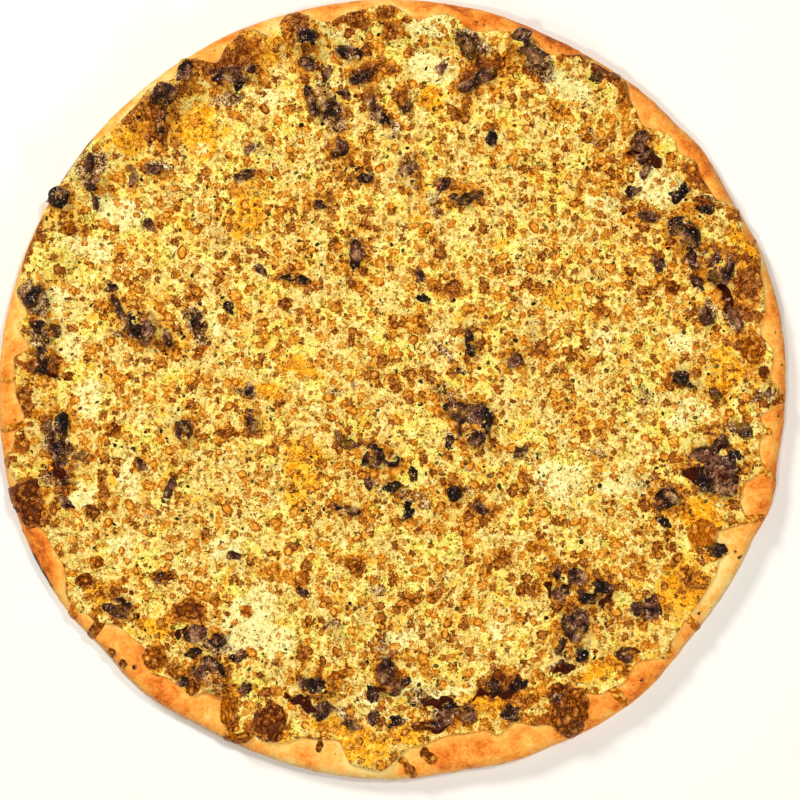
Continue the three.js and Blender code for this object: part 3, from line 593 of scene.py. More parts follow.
class Finish(Graph):
    """One procedural material, built node by node."""

    def __init__(self, name, **shader):
        self.material = bpy.data.materials.new(name)
        self.material.use_nodes = True
        super().__init__(self.material.node_tree)
        self.tree.nodes.clear()
        self.shader = self.add("ShaderNodeBsdfPrincipled", shader)
        out = self.add("ShaderNodeOutputMaterial")
        self.link(self.shader.outputs["BSDF"], out.inputs["Surface"])
        self.place = self.add("ShaderNodeTexCoord").outputs["Object"]

    def value(self, name):
        return self.add("ShaderNodeAttribute", attribute_name=name).outputs["Fac"]

    def blend(self, share, first, second):
        values = {0: share, 6: first, 7: second}
        return self.add("ShaderNodeMix", values, data_type="RGBA").outputs[2]

    def ramp(self, value, stops):
        """Colours along a value, at the stops given."""
        node = self.add("ShaderNodeValToRGB", {"Fac": value})
        elements = node.color_ramp.elements
        while len(elements) < len(stops):
            elements.new(0.5)
        for element, (at, code) in zip(elements, stops):
            element.position = at
            element.color = colour(code)
        return node.outputs["Color"]

    def coat(self, under, cover, low, high, grain, stops):
        """Colours laid over others where cover climbs from low to high."""
        return self.blend(self.span(cover, low, high), under, self.ramp(grain, stops))

    def bump(self, height, depth, strength=1.0, over=None):
        """Relief of a depth in millimetres, on top of another relief."""
        values = {"Height": height, "Distance": depth * MM, "Strength": strength}
        if over:
            values["Normal"] = over
        return self.add("ShaderNodeBump", values).outputs["Normal"]

    def finish(self, **sockets):
        names = {"colour": ["Base Color"], "roughness": ["Roughness"], "normal": ["Normal", "Coat Normal"]}
        for key, source in sockets.items():
            for name in names[key]:
                self.link(source, self.shader.inputs[name])
        return self.material


# Colours of the finishes: place on the ramp, from 0 to 1, and hex code.
CREAM = ((0.24, "583A10"), (0.33, "9E7028"), (0.41, "D0A84C"), (0.49, "EAD27A"), (0.59, "F2E49C"),
         (0.7, "FAF4CE"))
LEMON = ((0.24, "54420A"), (0.33, "A08A24"), (0.41, "D8C646"), (0.49, "F0E470"), (0.59, "F6F09A"),
         (0.7, "FBFAD6"))
BUTTER = ((0.24, "7E3E02"), (0.35, "C47806"), (0.45, "EEA010"), (0.57, "FAC62A"), (0.68, "FDE678"))
PALE_CHEESE = ((0.24, "8A7238"), (0.33, "C8B268"), (0.43, "E8DA8A"), (0.55, "F6F0AE"), (0.7, "FCFAD0"))
WARM_CHEESE = ((0.36, "8A4402"), (0.44, "C87A0E"), (0.52, "ECA622"), (0.62, "F8D060"))
BURNT_CHEESE = ((0.36, "300E02"), (0.44, "6A2A06"), (0.52, "A2500E"), (0.62, "D08836"))
BROWN_SPECKS = ((0, "2A1A06"), (0.5, "5C3A0C"), (1, "8A5A1C"))
# The palest stops, reached at a blister's top, are a painted highlight; the dark stops are the browned ring
# at its foot.
LIGHT_BLISTER = ((0.05, "D4940E"), (0.2, "AE5804"), (0.34, "8C3E02"), (0.45, "CA7404"), (0.58, "E49E1C"),
                 (0.78, "F8D478"))
DEEP_BLISTER = ((0.05, "9A5006"), (0.2, "522002"), (0.34, "2E0E01"), (0.48, "703204"), (0.62, "A05A10"),
                (0.82, "DCA65C"))
MEATY_CHEESE = ((0.36, "1C0A06"), (0.42, "44200E"), (0.48, "74442A"), (0.53, "A47A4C"), (0.59, "D8BC84"),
                (0.66, "FAF0CC"))
SAUCE = ((0.36, "160401"), (0.5, "3C0E03"), (0.64, "6E2806"))
BAKED_DOUGH = ((0.05, "F2D68E"), (0.25, "F4BE64"), (0.45, "F0A046"), (0.62, "DC7E2C"), (0.78, "AE5A1E"),
               (0.95, "50280F"))
FLOUR = ((0.35, "8A6A50"), (0.46, "C8A680"), (0.56, "E2C8A4"), (0.66, "F0E0C6"))
SCORCHED_DOUGH = ((0.36, "1C0E08"), (0.5, "4A2E20"), (0.64, "80604C"))
OVEN_SPOT = "6A3410"
SEARED_STEAK = ((0.3, "0C0404"), (0.41, "28100C"), (0.5, "4C2418"), (0.6, "7A4834"), (0.72, "A47858"),
                (0.84, "C8A47C"))
OLIVE_STEAK = ((0.3, "140802"), (0.45, "3C2004"), (0.58, "6A4408"), (0.74, "9A7420"))
CHEESE_ON_STEAK = ((0.35, "6E3A08"), (0.46, "AE7A34"), (0.56, "DCBC76"), (0.66, "F4E6B4"))
# Painted highlights: pale glints painted into the steak's colour.
PAINTED_GLINT_COLOURS = ((0, "A88468"), (0.5, "E8D4C0"), (1, "FFFAF2"))
PALE_STRING = ((0.38, "A8783A"), (0.48, "DCBC7C"), (0.6, "F8ECC0"))
STEAK_SHRED = ((0, "1E0C06"), (0.4, "44200E"), (0.75, "7A4A26"), (1, "B08250"))
DRIED_HERB = ((0, "28260C"), (0.5, "48461A"), (1, "787238"))
CRACKED_PEPPER = ((0, "120A04"), (0.6, "32200C"), (1, "5E4020"))
PALE_FLOOR = ((0, "ECEEF2"), (1, "F2F4F8"))

# The blisters that the sheet of cheese carries: width of their cells, how far
# they stand up, where their pattern starts, least and greatest reach in cells.
BLISTER_LAYERS = [
    (6.6, 0.7, 0.11, -0.10, 0.42),
    (4.6, 0.5, 0.23, -0.20, 0.40),
    (2.8, 0.25, 0.37, -0.5, 0.42),
]


def blister_field(graph, toast):
    """Rise of the blisters, from 0 at the rim to 1 at the top, their height in
    millimetres, a random tone and the halo round them, the same in the relief
    and in the finish."""
    rise, height, tone, halo = 0.0, 0.0, 0.0, 0.0
    for width, tall, offset, least, most in BLISTER_LAYERS:
        ragged = graph.warped(width * 0.3, width * 0.8, offset)
        distance, random = graph.cells(width, ragged, flat=True)
        chance = graph.parts(random)
        chosen = graph.span(chance["X"], 0, 1, least, most)
        swell = graph.plus(chosen, graph.calc("MULTIPLY", toast, 0.22))
        reach = graph.calc("MAXIMUM", swell, 0.001)
        fallen = graph.calc("DIVIDE", distance, reach)
        own = graph.calc("MAXIMUM", graph.calc("SUBTRACT", 1.0, fallen), 0.0)
        shown = graph.calc("GREATER_THAN", own, rise)
        toned = graph.add("ShaderNodeMix", {0: shown, 2: tone, 3: chance["Y"]}, data_type="FLOAT")
        tone = toned.outputs[0]
        rise = graph.calc("MAXIMUM", own, rise)
        glow = graph.span(graph.calc("SUBTRACT", distance, reach), 0, 0.22, 1, 0)
        faint = graph.calc("MULTIPLY", glow, graph.span(reach, 0.02, 0.2))
        halo = graph.calc("MAXIMUM", faint, halo)
        dome = graph.calc("MULTIPLY", graph.span(own, 0, 0.6), tall)
        height = graph.calc("MAXIMUM", dome, height)
    return rise, height, tone, halo


def blister_skin(f, rise, tone, fine):
    """Colour of a blister: dark browned round its foot, mottled orange above, and lighter towards its top as
    a painted highlight.
    """
    climbed = f.span(rise, 0, 0.45, 0.15, 0.6)
    ring_to_highlight = f.plus(climbed, f.around_zero(fine, 1.5), f.around_zero(f.noise(2.0, 2), 0.5))
    mottled = f.plus(tone, f.around_zero(f.noise(1.6, 2), 1.2))
    return f.coat(f.ramp(ring_to_highlight, LIGHT_BLISTER), mottled, 0.42, 0.74, ring_to_highlight, DEEP_BLISTER)


def cheese_body(f, grain, edge):
    """The cheese before the oven browned it: cream, lemon, buttery and pale."""
    lemony = f.plus(f.noise(13, 3), f.calc("MULTIPLY", edge, 0.4))
    body = f.coat(f.ramp(grain, CREAM), lemony, 0.48, 0.6, grain, LEMON)
    buttered = f.plus(f.noise(9, 3), f.value("gold"), f.calc("MULTIPLY", edge, 0.7))
    body = f.coat(body, buttered, 0.6, 0.74, grain, BUTTER)
    return f.coat(body, f.plus(f.value("pale"), edge), 0.4, 0.6, grain, PALE_CHEESE)


def speckled(f, body):
    """Small brown specks strewn over the cheese."""
    away, chance = f.cells(1.9)
    size = f.span(f.parts(chance)["X"], 0.5, 1, 0.0, 0.26)
    speck = f.span(f.calc("SUBTRACT", size, away), 0.0, 0.05)
    return f.blend(f.calc("MULTIPLY", speck, 0.85), body, f.ramp(f.parts(chance)["Y"], BROWN_SPECKS))


def cheese_finish():
    """Melted mozzarella: pale and yellow, toasted orange in spots, oily."""
    f = Finish("melted cheese", **{"Specular IOR Level": 0.03, "Coat Weight": 0.18, "Coat Roughness": 0.03})
    toast = f.value("toast")
    mottle = f.noise(3.0, 4, 0.75, warp=0.8)
    fine = f.noise(0.8, 3, 0.9)
    curd = f.noise(1.5, 1, 0.8, warp=1.0)
    grain = f.plus(0.5, f.around_zero(mottle, 0.8), f.around_zero(fine, 0.8), f.around_zero(curd, 0.5))
    edge = f.plus(f.around_zero(mottle, 1.6), f.around_zero(fine, 1.2))
    body = cheese_body(f, grain, edge)
    rise, _, tone, halo = blister_field(f, toast)
    warm = f.plus(f.calc("MULTIPLY", halo, 0.55), f.calc("MULTIPLY", toast, 0.8), edge)
    body = f.coat(body, warm, 0.42, 0.6, fine, WARM_CHEESE)
    body = f.coat(body, f.plus(toast, edge), 0.66, 0.84, fine, BURNT_CHEESE)
    body = speckled(f, body)
    skin = blister_skin(f, rise, f.plus(tone, f.calc("MULTIPLY", toast, 0.5)), fine)
    body = f.blend(f.span(f.plus(rise, f.around_zero(fine, 0.35)), 0.03, 0.13), body, skin)
    meat_grain = f.plus(f.noise(1.0, 3, 0.9), f.around_zero(f.noise(4, 2), 0.5))
    body = f.coat(body, f.plus(f.value("meat"), edge), 0.55, 0.7, meat_grain, MEATY_CHEESE)
    wet = f.plus(f.value("sauce"), f.calc("MULTIPLY", edge, 0.6))
    body = f.coat(body, wet, 0.5, 0.62, fine, SAUCE)
    relief = f.bump(f.noise(1.5, 3, 0.6), 0.5, 1.0)
    relief = f.bump(f.noise(0.55, 2, 0.6), 0.25, 1.0, relief)
    rough = f.span(f.noise(2.2, 3), 0.35, 0.65, 0.35, 0.6)
    return f.finish(colour=body, roughness=rough, normal=relief)


def browned_finish():
    """Blisters and drips of cheese, toasted from orange to dark brown."""
    f = Finish("browned cheese", **{"Specular IOR Level": 0.03, "Coat Weight": 0.25, "Coat Roughness": 0.03})
    fine = f.noise(0.8, 3, 0.9)
    body = blister_skin(f, f.value("rise"), f.value("tone"), fine)
    relief = f.bump(f.noise(0.8, 3, 0.65), 0.4, 1.0)
    rough = f.span(fine, 0.35, 0.65, 0.3, 0.55)
    return f.finish(colour=body, roughness=rough, normal=relief)


def crust_finish():
    """Baked dough: golden, paler inside, browner in patches, floury below."""
    f = Finish("baked crust", **{"Specular IOR Level": 0.12})
    broad = f.noise(22, 3)
    mid = f.noise(6, 4, 0.6)
    fine = f.noise(1.2, 3, 0.65)
    uneven = (f.around_zero(broad, 0.9), f.around_zero(mid, 0.9), f.around_zero(fine, 0.6))
    body = f.ramp(f.plus(f.value("bake"), *uneven), BAKED_DOUGH)
    flour = f.plus(f.value("flour"), f.around_zero(f.noise(2.2, 4, 0.75), 1.4), f.around_zero(mid, 1.0))
    dusted = f.ramp(f.noise(1.0, 3, 0.8), FLOUR)
    body = f.blend(f.span(flour, 0.35, 0.95, 0, 0.8), body, dusted)
    away, chance = f.cells(3.2)
    size = f.span(f.parts(chance)["X"], 0.86, 1, 0.0, 0.2)
    dot = f.span(f.calc("SUBTRACT", size, away), 0.0, 0.05)
    body = f.blend(f.calc("MULTIPLY", dot, 0.8), body, colour(OVEN_SPOT))
    char = f.plus(f.value("char"), f.around_zero(mid, 1.2), f.around_zero(f.noise(1.8, 3, 0.7), 0.8))
    body = f.coat(body, char, 0.4, 0.8, f.noise(1.2, 3, 0.8), SCORCHED_DOUGH)
    relief = f.bump(f.noise(3.5, 3), 0.35, 0.6)
    relief = f.bump(f.noise(0.6, 3, 0.7), 0.12, 0.8, relief)
    rough = f.span(fine, 0.3, 0.7, 0.5, 0.8)
    return f.finish(colour=body, roughness=rough, normal=relief)


def painted_glints(f, body, mid):
    """Painted highlights: tiny ragged glints painted into the colour of the glaze."""
    away, chance = f.cells(0.85, f.pushed(0.6, 0.5, 1))
    size = f.span(f.plus(f.parts(chance)["X"], f.around_zero(mid, 1.6)), 0.66, 0.9, 0, 0.34)
    painted_glint = f.span(f.calc("SUBTRACT", size, away), 0.0, 0.06)
    return f.blend(f.calc("MULTIPLY", painted_glint, 0.9), body, f.ramp(f.parts(chance)["Y"], PAINTED_GLINT_COLOURS))


def steak_finish():
    """Seared steak under a sticky dark glaze, with melted cheese on some of it."""
    f = Finish("glazed steak", **{"Specular IOR Level": 0.04, "Coat Weight": 0.45, "Coat Roughness": 0.04})
    mid = f.noise(2.4, 4, 0.75, warp=1.0)
    fine = f.noise(0.7, 3, 0.9)
    uneven = (f.around_zero(mid, 1.1), f.around_zero(fine, 0.9), f.around_zero(f.noise(8, 2), 1.3))
    tone = f.plus(0.5, *uneven)
    olive = f.plus(f.noise(7, 2), f.around_zero(fine, 0.3))
    body = f.coat(f.ramp(tone, SEARED_STEAK), olive, 0.54, 0.62, tone, OLIVE_STEAK)
    cheesy = f.plus(f.noise(4.0, 4, 0.7), f.around_zero(fine, 0.5))
    body = f.coat(body, cheesy, 0.62, 0.67, fine, CHEESE_ON_STEAK)
    # Painted highlights: pale glints painted over the steak's colour.
    body = painted_glints(f, body, mid)
    relief = f.bump(f.noise(1.3, 4, 0.7), 0.8, 1.0)
    relief = f.bump(fine, 0.25, 1.0, relief)
    rough = f.span(mid, 0.35, 0.65, 0.3, 0.6)
    return f.finish(colour=body, roughness=rough, normal=relief)


def thread_finish():
    """Pale strings of cheese and fat."""
    f = Finish("pale thread", **{"Specular IOR Level": 0.1, "Coat Weight": 0.2, "Coat Roughness": 0.05})
    body = f.ramp(f.noise(1.4, 3, 0.8), PALE_STRING)
    rough = f.span(f.noise(0.8, 2), 0.35, 0.65, 0.3, 0.5)
    return f.finish(colour=body, roughness=rough)


def fleck_finish(name, stops):
    """Dried herb, cracked pepper or a shred of steak, each with its own tone."""
    f = Finish(name, **{"Specular IOR Level": 0.05})
    body = f.ramp(f.plus(f.value("tone"), f.calc("MULTIPLY", f.noise(0.5, 2), 0.2)), stops)
    rough = f.span(f.noise(0.4, 2), 0.3, 0.7, 0.5, 0.8)
    return f.finish(colour=body, roughness=rough)


FINISHES = {
    "cheese": cheese_finish(),
    "browned": browned_finish(),
    "crust": crust_finish(),
    "steak": steak_finish(),
    "thread": thread_finish(),
    "bits": fleck_finish("torn steak bits", STEAK_SHRED),
    "herb": fleck_finish("dried herb", DRIED_HERB),
    "pepper": fleck_finish("cracked pepper", CRACKED_PEPPER),
}

# ---------------------------------------------------------------- crust

CRUST_BEARINGS = 1080
PROFILE_STEP = 0.9
UNDER_INSETS = (60, 40, 28, 20, 15, 12, 10, 8.4)
CREST_STEPS = 16
INSIDE_REACH = 8.0  # how far the fine rows go on past the inside of the rim
CRUST_RELIEF_ROOM = 0.5  # the relief is cut into the crust, never added on
CRUST_RELIEF_TOP = 1.0
CRUST_RELIEF_LIMIT = 1.4
MIDDLE_OF_CRUST = {"bake": (0.5, 0.3), "flour": (0.5, 0), "char": (0, 0)}  # under, then on top


def crust_profile():
    """Insets and heights round the rim: from under the foot, out and up, over the
    crest and down inside, as functions of the crest's height."""
    under = [(inset, 0.0) for inset in UNDER_INSETS]
    low_steps = round(math.pi / 2 * FOOT_INSET / PROFILE_STEP)
    low = [(FOOT_INSET * (1 - math.sin(t)), RIM_BULGE_HEIGHT * (1 - math.cos(t)))
           for t in np.linspace(0, math.pi / 2, low_steps)]
    insets = [*(RIM_CREST_INSET * (1 - np.cos(np.linspace(0, math.pi / 2, CREST_STEPS)))[1:]),
              *np.arange(RIM_CREST_INSET + PROFILE_STEP, RIM_INSET + INSIDE_REACH, PROFILE_STEP)]
    return under + low, insets


def crust_relief(x, y, height):
    """Swells, crinkles and bubbles of the dough."""
    swell = 0.5 * rough_noise(x / 15, y / 15, height / 12 + 3, 2)
    crinkle = 0.22 * rough_noise(x / 3.4, y / 3.4, height / 3.4 + 9, 3)
    bubble = np.maximum(rough_noise(x / 7, y / 7, height / 7 + 20, 2) - 0.45, 0) * 1.1
    return np.clip(swell + crinkle + bubble, -CRUST_RELIEF_LIMIT, CRUST_RELIEF_LIMIT)


def make_crust():
    """The whole crust: flat below, with its rim, and smooth under the cheese."""
    bearings = np.arange(CRUST_BEARINGS) * 360 / CRUST_BEARINGS
    a = np.radians(bearings)
    below, insets = crust_profile()
    rows = [(np.full(len(a), inset), np.full(len(a), height)) for inset, height in below]
    rows += [(np.full(len(a), inset), dough_height(bearings, inset)) for inset in insets]
    inset = np.array([row[0] for row in rows])
    height = np.array([row[1] for row in rows])
    reach = crust_radius(bearings) - inset
    relief = crust_relief(reach * np.cos(a), reach * np.sin(a), height)
    sunk = (relief - CRUST_RELIEF_TOP) * CRUST_RELIEF_ROOM
    outward = smoothstep(RIM_CREST_INSET - inset, 0, RIM_CREST_INSET)
    upward = smoothstep(height, 2, 10) * (1 - smoothstep(inset, RIM_CREST_INSET + 6, RIM_INSET))
    reach = reach + sunk * outward
    height = height + sunk * upward
    x, y = reach * np.cos(a), reach * np.sin(a)
    middles = [[0, 0, 0], [0, 0, DOUGH_THICKNESS]]
    points = np.concatenate([np.stack([x, y, height], -1).reshape(-1, 3), middles])
    attributes = {
        key: np.append(values.ravel(), MIDDLE_OF_CRUST[key])
        for key, values in crust_baking(np.broadcast_to(bearings, inset.shape), inset, height, x, y).items()
    }
    piece = make_object("baked_crust", points, tube_faces(len(rows), CRUST_BEARINGS), attributes)
    return dress(piece, "crust", "crust")


def crust_baking(bearing, inset, height, x, y):
    """How baked, how floury and how charred the crust is."""
    bare = crust_radius(bearing) - cheese_radius(bearing)
    side = smoothstep(height, 1, 8)
    bake = round_table(CRUST_BAKE, bearing) - 0.22 * smoothstep(inset, bare - 5, bare + 1)
    bake = bake * side + 0.5 * (1 - side)
    edge = np.maximum(1 - smoothstep(inset, 1, 4.5), 1 - smoothstep(height, 4, 8))
    flour = edge * round_table(EDGE_FLOUR, bearing)
    char = edge * round_table(EDGE_CHAR, bearing)
    for spot_x, spot_y, size in CRUST_SPOTS:
        away = np.hypot(x - spot_x, y - spot_y)
        char = np.maximum(char, 0.9 * (1 - smoothstep(away, 0.3 * size, 0.7 * size)))
    return {"bake": bake, "flour": flour, "char": char}


# ---------------------------------------------------------------- cheese

CHEESE_RINGS = 320
CHEESE_SECTORS = 6
MEAN_CHEESE_RADIUS = 168.0
EDGE_FOLLOW = 6  # how late the rings turn from a circle into the ragged edge
# Rows under the edge: how far in from it, and how far above the dough.
ROLLED_EDGE = [(-0.15, 0.45), (0.1, 0.12)]
UNDERSIDE_INSETS = (1, 2, 3, 4.5, 6, 8, 10, 12, 14, 16, 18)
UNDERSIDE_LIFT = 0.2
CHEESE_UNDERSIDE = ROLLED_EDGE + [(inset, UNDERSIDE_LIFT) for inset in UNDERSIDE_INSETS]
WALL_ROOM = 0.3  # least room between a wall's low points and the underside's last row


def node_points(node):
    """A node's points in the part's own millimetres."""
    return [(v.co.x / MM - OUTLINE_SHIFT[0], v.co.y / MM - OUTLINE_SHIFT[1], v.co.z / MM)
            for v in node.data.vertices]


STEAK_NODES = {name: node for name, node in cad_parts.items() if name.startswith("steak")}
STEAK_SPOTS = flat_tree([point[:2] for node in STEAK_NODES.values() for point in node_points(node)])


def steak_distance(x, y):
    """How far each spot lies from the nearest steak."""
    return np.array([STEAK_SPOTS.find((px, py, 0))[2] for px, py in zip(x, y)])


def steak_shell():
    """The steak's solids as one shell that answers rays, in millimetres."""
    points, faces = [], []
    for node in STEAK_NODES.values():
        start = len(points)
        points += node_points(node)
        faces += [[start + i for i in face.vertices] for face in node.data.polygons]
    return BVHTree.FromPolygons(points, faces)


STEAK_SHELL = steak_shell()
ABOVE_ALL = 60.0
NEAR_STEAK = 6.0


def steak_top(x, y, near):
    """Height of the steak's top over each spot, and 0 beside the steak."""
    top = np.zeros(len(x))
    for i in np.flatnonzero(near < NEAR_STEAK):
        hit = STEAK_SHELL.ray_cast((x[i], y[i], ABOVE_ALL), (0, 0, -1))[0]
        if hit:
            top[i] = hit.z
    return top


def wedge_faces(rings):
    """Triangles of a wedge whose ring k has k + 1 points, from its tip outwards."""
    faces = []
    for k in range(1, rings + 1):
        inner = k * (k - 1) // 2 + np.arange(k)
        outer = k * (k + 1) // 2 + np.arange(k + 1)
        faces.append(np.stack([inner, outer[:-1], outer[1:]], 1))
        faces.append(np.stack([inner[:-1], outer[1:-1], inner[1:]], 1))
    return np.concatenate(faces)


def wall_faces(upper, lower, upper_at, lower_at):
    """Triangles between two lines of points that run the same way."""
    faces, i, j = [], 0, 0
    while i < len(upper) - 1 or j < len(lower) - 1:
        last = j == len(lower) - 1
        if last or (i < len(upper) - 1 and upper_at[i + 1] <= lower_at[j + 1]):
            faces.append((upper[i], lower[j], upper[i + 1]))
            i += 1
        else:
            faces.append((upper[i], lower[j], lower[j + 1]))
            j += 1
    return np.array(faces)


SHRED_HEIGHT = 0.34
SHRED_SPAN = 3.1
SHRED_WARP = 2.2
SHRED_WARP_SPAN = 6.0


def melted_relief(x, y):
    """Fine unevenness of the melted shreds."""
    warp_x = x + SHRED_WARP * noise(x / SHRED_WARP_SPAN, y / SHRED_WARP_SPAN, LAYER["shreds x"])
    warp_y = y + SHRED_WARP * noise(x / SHRED_WARP_SPAN, y / SHRED_WARP_SPAN, LAYER["shreds y"])
    return SHRED_HEIGHT * rough_noise(warp_x / SHRED_SPAN, warp_y / SHRED_SPAN, LAYER["shreds"], 3)


def cheese_surface(x, y):
    """Top of the cheese with its fine relief."""
    inset = cheese_radius(bearing_of(x, y)) - np.hypot(x, y)
    return cheese_height_at(x, y) + melted_relief(x, y) * smoothstep(inset, 0, 5)


COVER_DEPTH = 0.35  # how far the cheese stays below the top of a steak that it covers
CREEP_REACH = 2.2  # how far from the steak the cheese creeps up to it


def cheese_over_steak(x, y, height):
    """The cheese creeps up the steak, and lies over parts of it."""
    near = steak_distance(x, y)
    creep = 0.5 + 1.3 * np.maximum(rough_noise(x / 4, y / 4, LAYER["creep"], 2), 0)
    height = height + creep * np.exp(-(near / CREEP_REACH) ** 2)
    top = steak_top(x, y, near)
    cover = smoothstep(rough_noise(x / 5.5, y / 5.5, LAYER["cover"], 3), 0.12, 0.4) * (top > 0)
    over = np.maximum(top - COVER_DEPTH, height)
    return height + (over - height) * cover, near, cover


def wedge_spots(sector):
    """Ring, step in its ring, bearing and reach of each point of a wedge's top."""
    ring = np.concatenate([np.full(k + 1, k) for k in range(CHEESE_RINGS + 1)])
    step = np.concatenate([np.arange(k + 1) for k in range(CHEESE_RINGS + 1)])
    span = 360 / CHEESE_SECTORS
    bearing = span * (sector + step / np.maximum(ring, 1))
    share = ring / CHEESE_RINGS
    follow = share ** EDGE_FOLLOW
    reach = share * (MEAN_CHEESE_RADIUS * (1 - follow) + cheese_radius(bearing) * follow)
    return ring, step, bearing, reach


def wedge_underside(points, bearing, edge):
    """Adds the rows under the edge. Gives the last row, and both ends of every row."""
    a = np.radians(bearing[edge])
    faces = []
    first, last = [edge[0]], [edge[-1]]
    before = edge
    for tuck, lift in CHEESE_UNDERSIDE:
        reach = cheese_radius(bearing[edge]) - tuck
        under = dough_height(bearing[edge], crust_radius(bearing[edge]) - reach) + lift
        after = np.arange(len(points), len(points) + len(edge))
        points = np.concatenate([points, np.stack([reach * np.cos(a), reach * np.sin(a), under], 1)])
        faces.append(np.stack([before[:-1], after[:-1], before[1:]], 1))
        faces.append(np.stack([before[1:], after[:-1], after[1:]], 1))
        first.append(after[0])
        last.append(after[-1])
        before = after
    return points, faces, before, (first, last)


def wedge_wall(points, top_line, row_ends, tip, corner):
    """Adds the upright wall beside the next wedge, with low points straight below
    the top's, and the strip of underside along it."""
    reached = np.hypot(points[:, 0], points[:, 1])
    row_end = row_ends[-1]
    over = top_line[1:][reached[top_line[1:]] < reached[row_end] - WALL_ROOM]
    below = np.arange(len(points), len(points) + len(over))
    under = np.column_stack([points[over, :2], np.full(len(over), DOUGH_THICKNESS + GAP)])
    reached = np.append(reached, reached[over])
    line = np.array([tip, *below, row_end])
    fan = np.stack([line[1:], line[:-1], np.full(len(line) - 1, corner)], 1)
    lower = np.array([tip, *below, *row_ends[:0:-1]])
    wall = wall_faces(top_line, lower, reached[top_line], np.maximum.accumulate(reached[lower]))
    return np.concatenate([points, under]), [fan, wall]


def wedge_looks(points, near, cover, heat):
    """What the finish and the blisters read at each point. The top's points come
    first, with their distance from the steak and how far cheese covers it."""
    x, y = points[:, 0], points[:, 1]
    unseen = np.zeros(len(points) - len(near))
    by_steak = np.append(0.45 * np.exp(-(near / 3.5) ** 2), unseen)
    on_steak = np.append(np.maximum(0.5 * np.exp(-(near / CREEP_REACH) ** 2), 0.45 * cover), unseen)
    bare = np.append(1 - 0.7 * cover, unseen)
    inset = cheese_radius(bearing_of(x, y)) - np.hypot(x, y)
    pale = patchwork(PALE_PATCHES, x, y)
    return {
        "toast": heat(x, y) + 0.85 * patchwork(BROWNED_PATCHES, x, y) - 0.5 * pale + by_steak,
        "meat": np.maximum(patchwork(MEATY_PATCHES, x, y), on_steak),
        "pale": pale,
        "gold": 0.45 * patchwork(GOLDEN_PATCHES, x, y),
        "sauce": patchwork(SAUCE_PATCHES, x, y),
        "open": smoothstep(inset, 0, 3) * bare,
    }


def make_cheese_wedge(sector, heat):
    """One sixth of the sheet of cheese, closed all round."""
    ring, step, bearing, reach = wedge_spots(sector)
    x, y = reach * np.cos(np.radians(bearing)), reach * np.sin(np.radians(bearing))
    height, near, cover = cheese_over_steak(x, y, cheese_surface(x, y))
    edge = np.flatnonzero(ring == CHEESE_RINGS)
    points, faces, row, row_ends = wedge_underside(np.stack([x, y, height], 1), bearing, edge)
    faces.insert(0, wedge_faces(CHEESE_RINGS))
    tip = len(points)
    points = np.concatenate([points, [[0, 0, DOUGH_THICKNESS + GAP]]])
    faces.append(np.stack([row[1:-2], np.full(len(row) - 3, tip), row[2:-1]], 1))
    top_lines = np.flatnonzero(step == 0), np.flatnonzero(step == ring)
    corners = row[1], row[-2]
    for line, ends, corner, order in zip(top_lines, row_ends, corners, (1, -1)):
        points, walls = wedge_wall(points, line, ends, tip, corner)
        faces += [wall[:, ::order] for wall in walls]
    seam = np.zeros(len(points), bool)
    seam[np.concatenate(top_lines)] = True
    looks = wedge_looks(points, near, cover, heat)
    carrier = make_object(f"cheese_carrier_{sector}", points, np.concatenate(faces), looks, seam)
    return dress(raise_blisters(carrier, f"melted_cheese_{sector + 1}"), "cheese", "cheese")


# ---------------------------------------------------------------- what repeats

class Layout(Graph):
    """A geometry layout with named inputs."""

    def __init__(self, name, sizes):
        tree = bpy.data.node_groups.new(name, "GeometryNodeTree")
        super().__init__(tree)
        tree.interface.new_socket("Geometry", in_out="INPUT", socket_type="NodeSocketGeometry")
        for key in sizes:
            tree.interface.new_socket(key, in_out="INPUT", socket_type="NodeSocketFloat")
        tree.interface.new_socket("Geometry", in_out="OUTPUT", socket_type="NodeSocketGeometry")
        self.sizes = sizes
        self.given = self.add("NodeGroupInput").outputs
        self.place = self.add("GeometryNodeInputPosition").outputs[0]

    def read(self, key, kind="FLOAT"):
        node = self.add("GeometryNodeInputNamedAttribute", {"Name": key}, data_type=kind)
        return next(out for out in node.outputs if out.enabled)

    def store(self, geometry, key, value, domain="POINT"):
        values = {"Geometry": geometry, "Name": key, "Value": value}
        settings = {"data_type": "FLOAT", "domain": domain}
        return self.add("GeometryNodeStoreNamedAttribute", values, **settings).outputs[0]

    def end(self, geometry, finish):
        real = self.add("GeometryNodeRealizeInstances", {"Geometry": geometry}).outputs[0]
        smooth = self.add("GeometryNodeSetShadeSmooth", {"Geometry": real}).outputs[0]
        painted = self.add("GeometryNodeSetMaterial", {"Geometry": smooth, "Material": FINISHES[finish]})
        self.link(painted.outputs[0], self.add("NodeGroupOutput").inputs[0])

    def apply(self, carrier, name):
        """The carrier laid out, as a plain piece."""
        modifier = carrier.modifiers.new("layout", "NODES")
        modifier.node_group = self.tree
        for item in self.tree.interface.items_tree:
            if item.in_out == "INPUT" and item.name in self.sizes:
                modifier[item.identifier] = self.sizes[item.name]
        evaluated = carrier.evaluated_get(bpy.context.evaluated_depsgraph_get())
        mesh = bpy.data.meshes.new_from_object(evaluated)
        carrier.modifiers.remove(modifier)
        bpy.data.objects.remove(carrier)
        mesh.name = name
        piece = bpy.data.objects.new(name, mesh)
        bpy.context.scene.collection.objects.link(piece)
        return piece


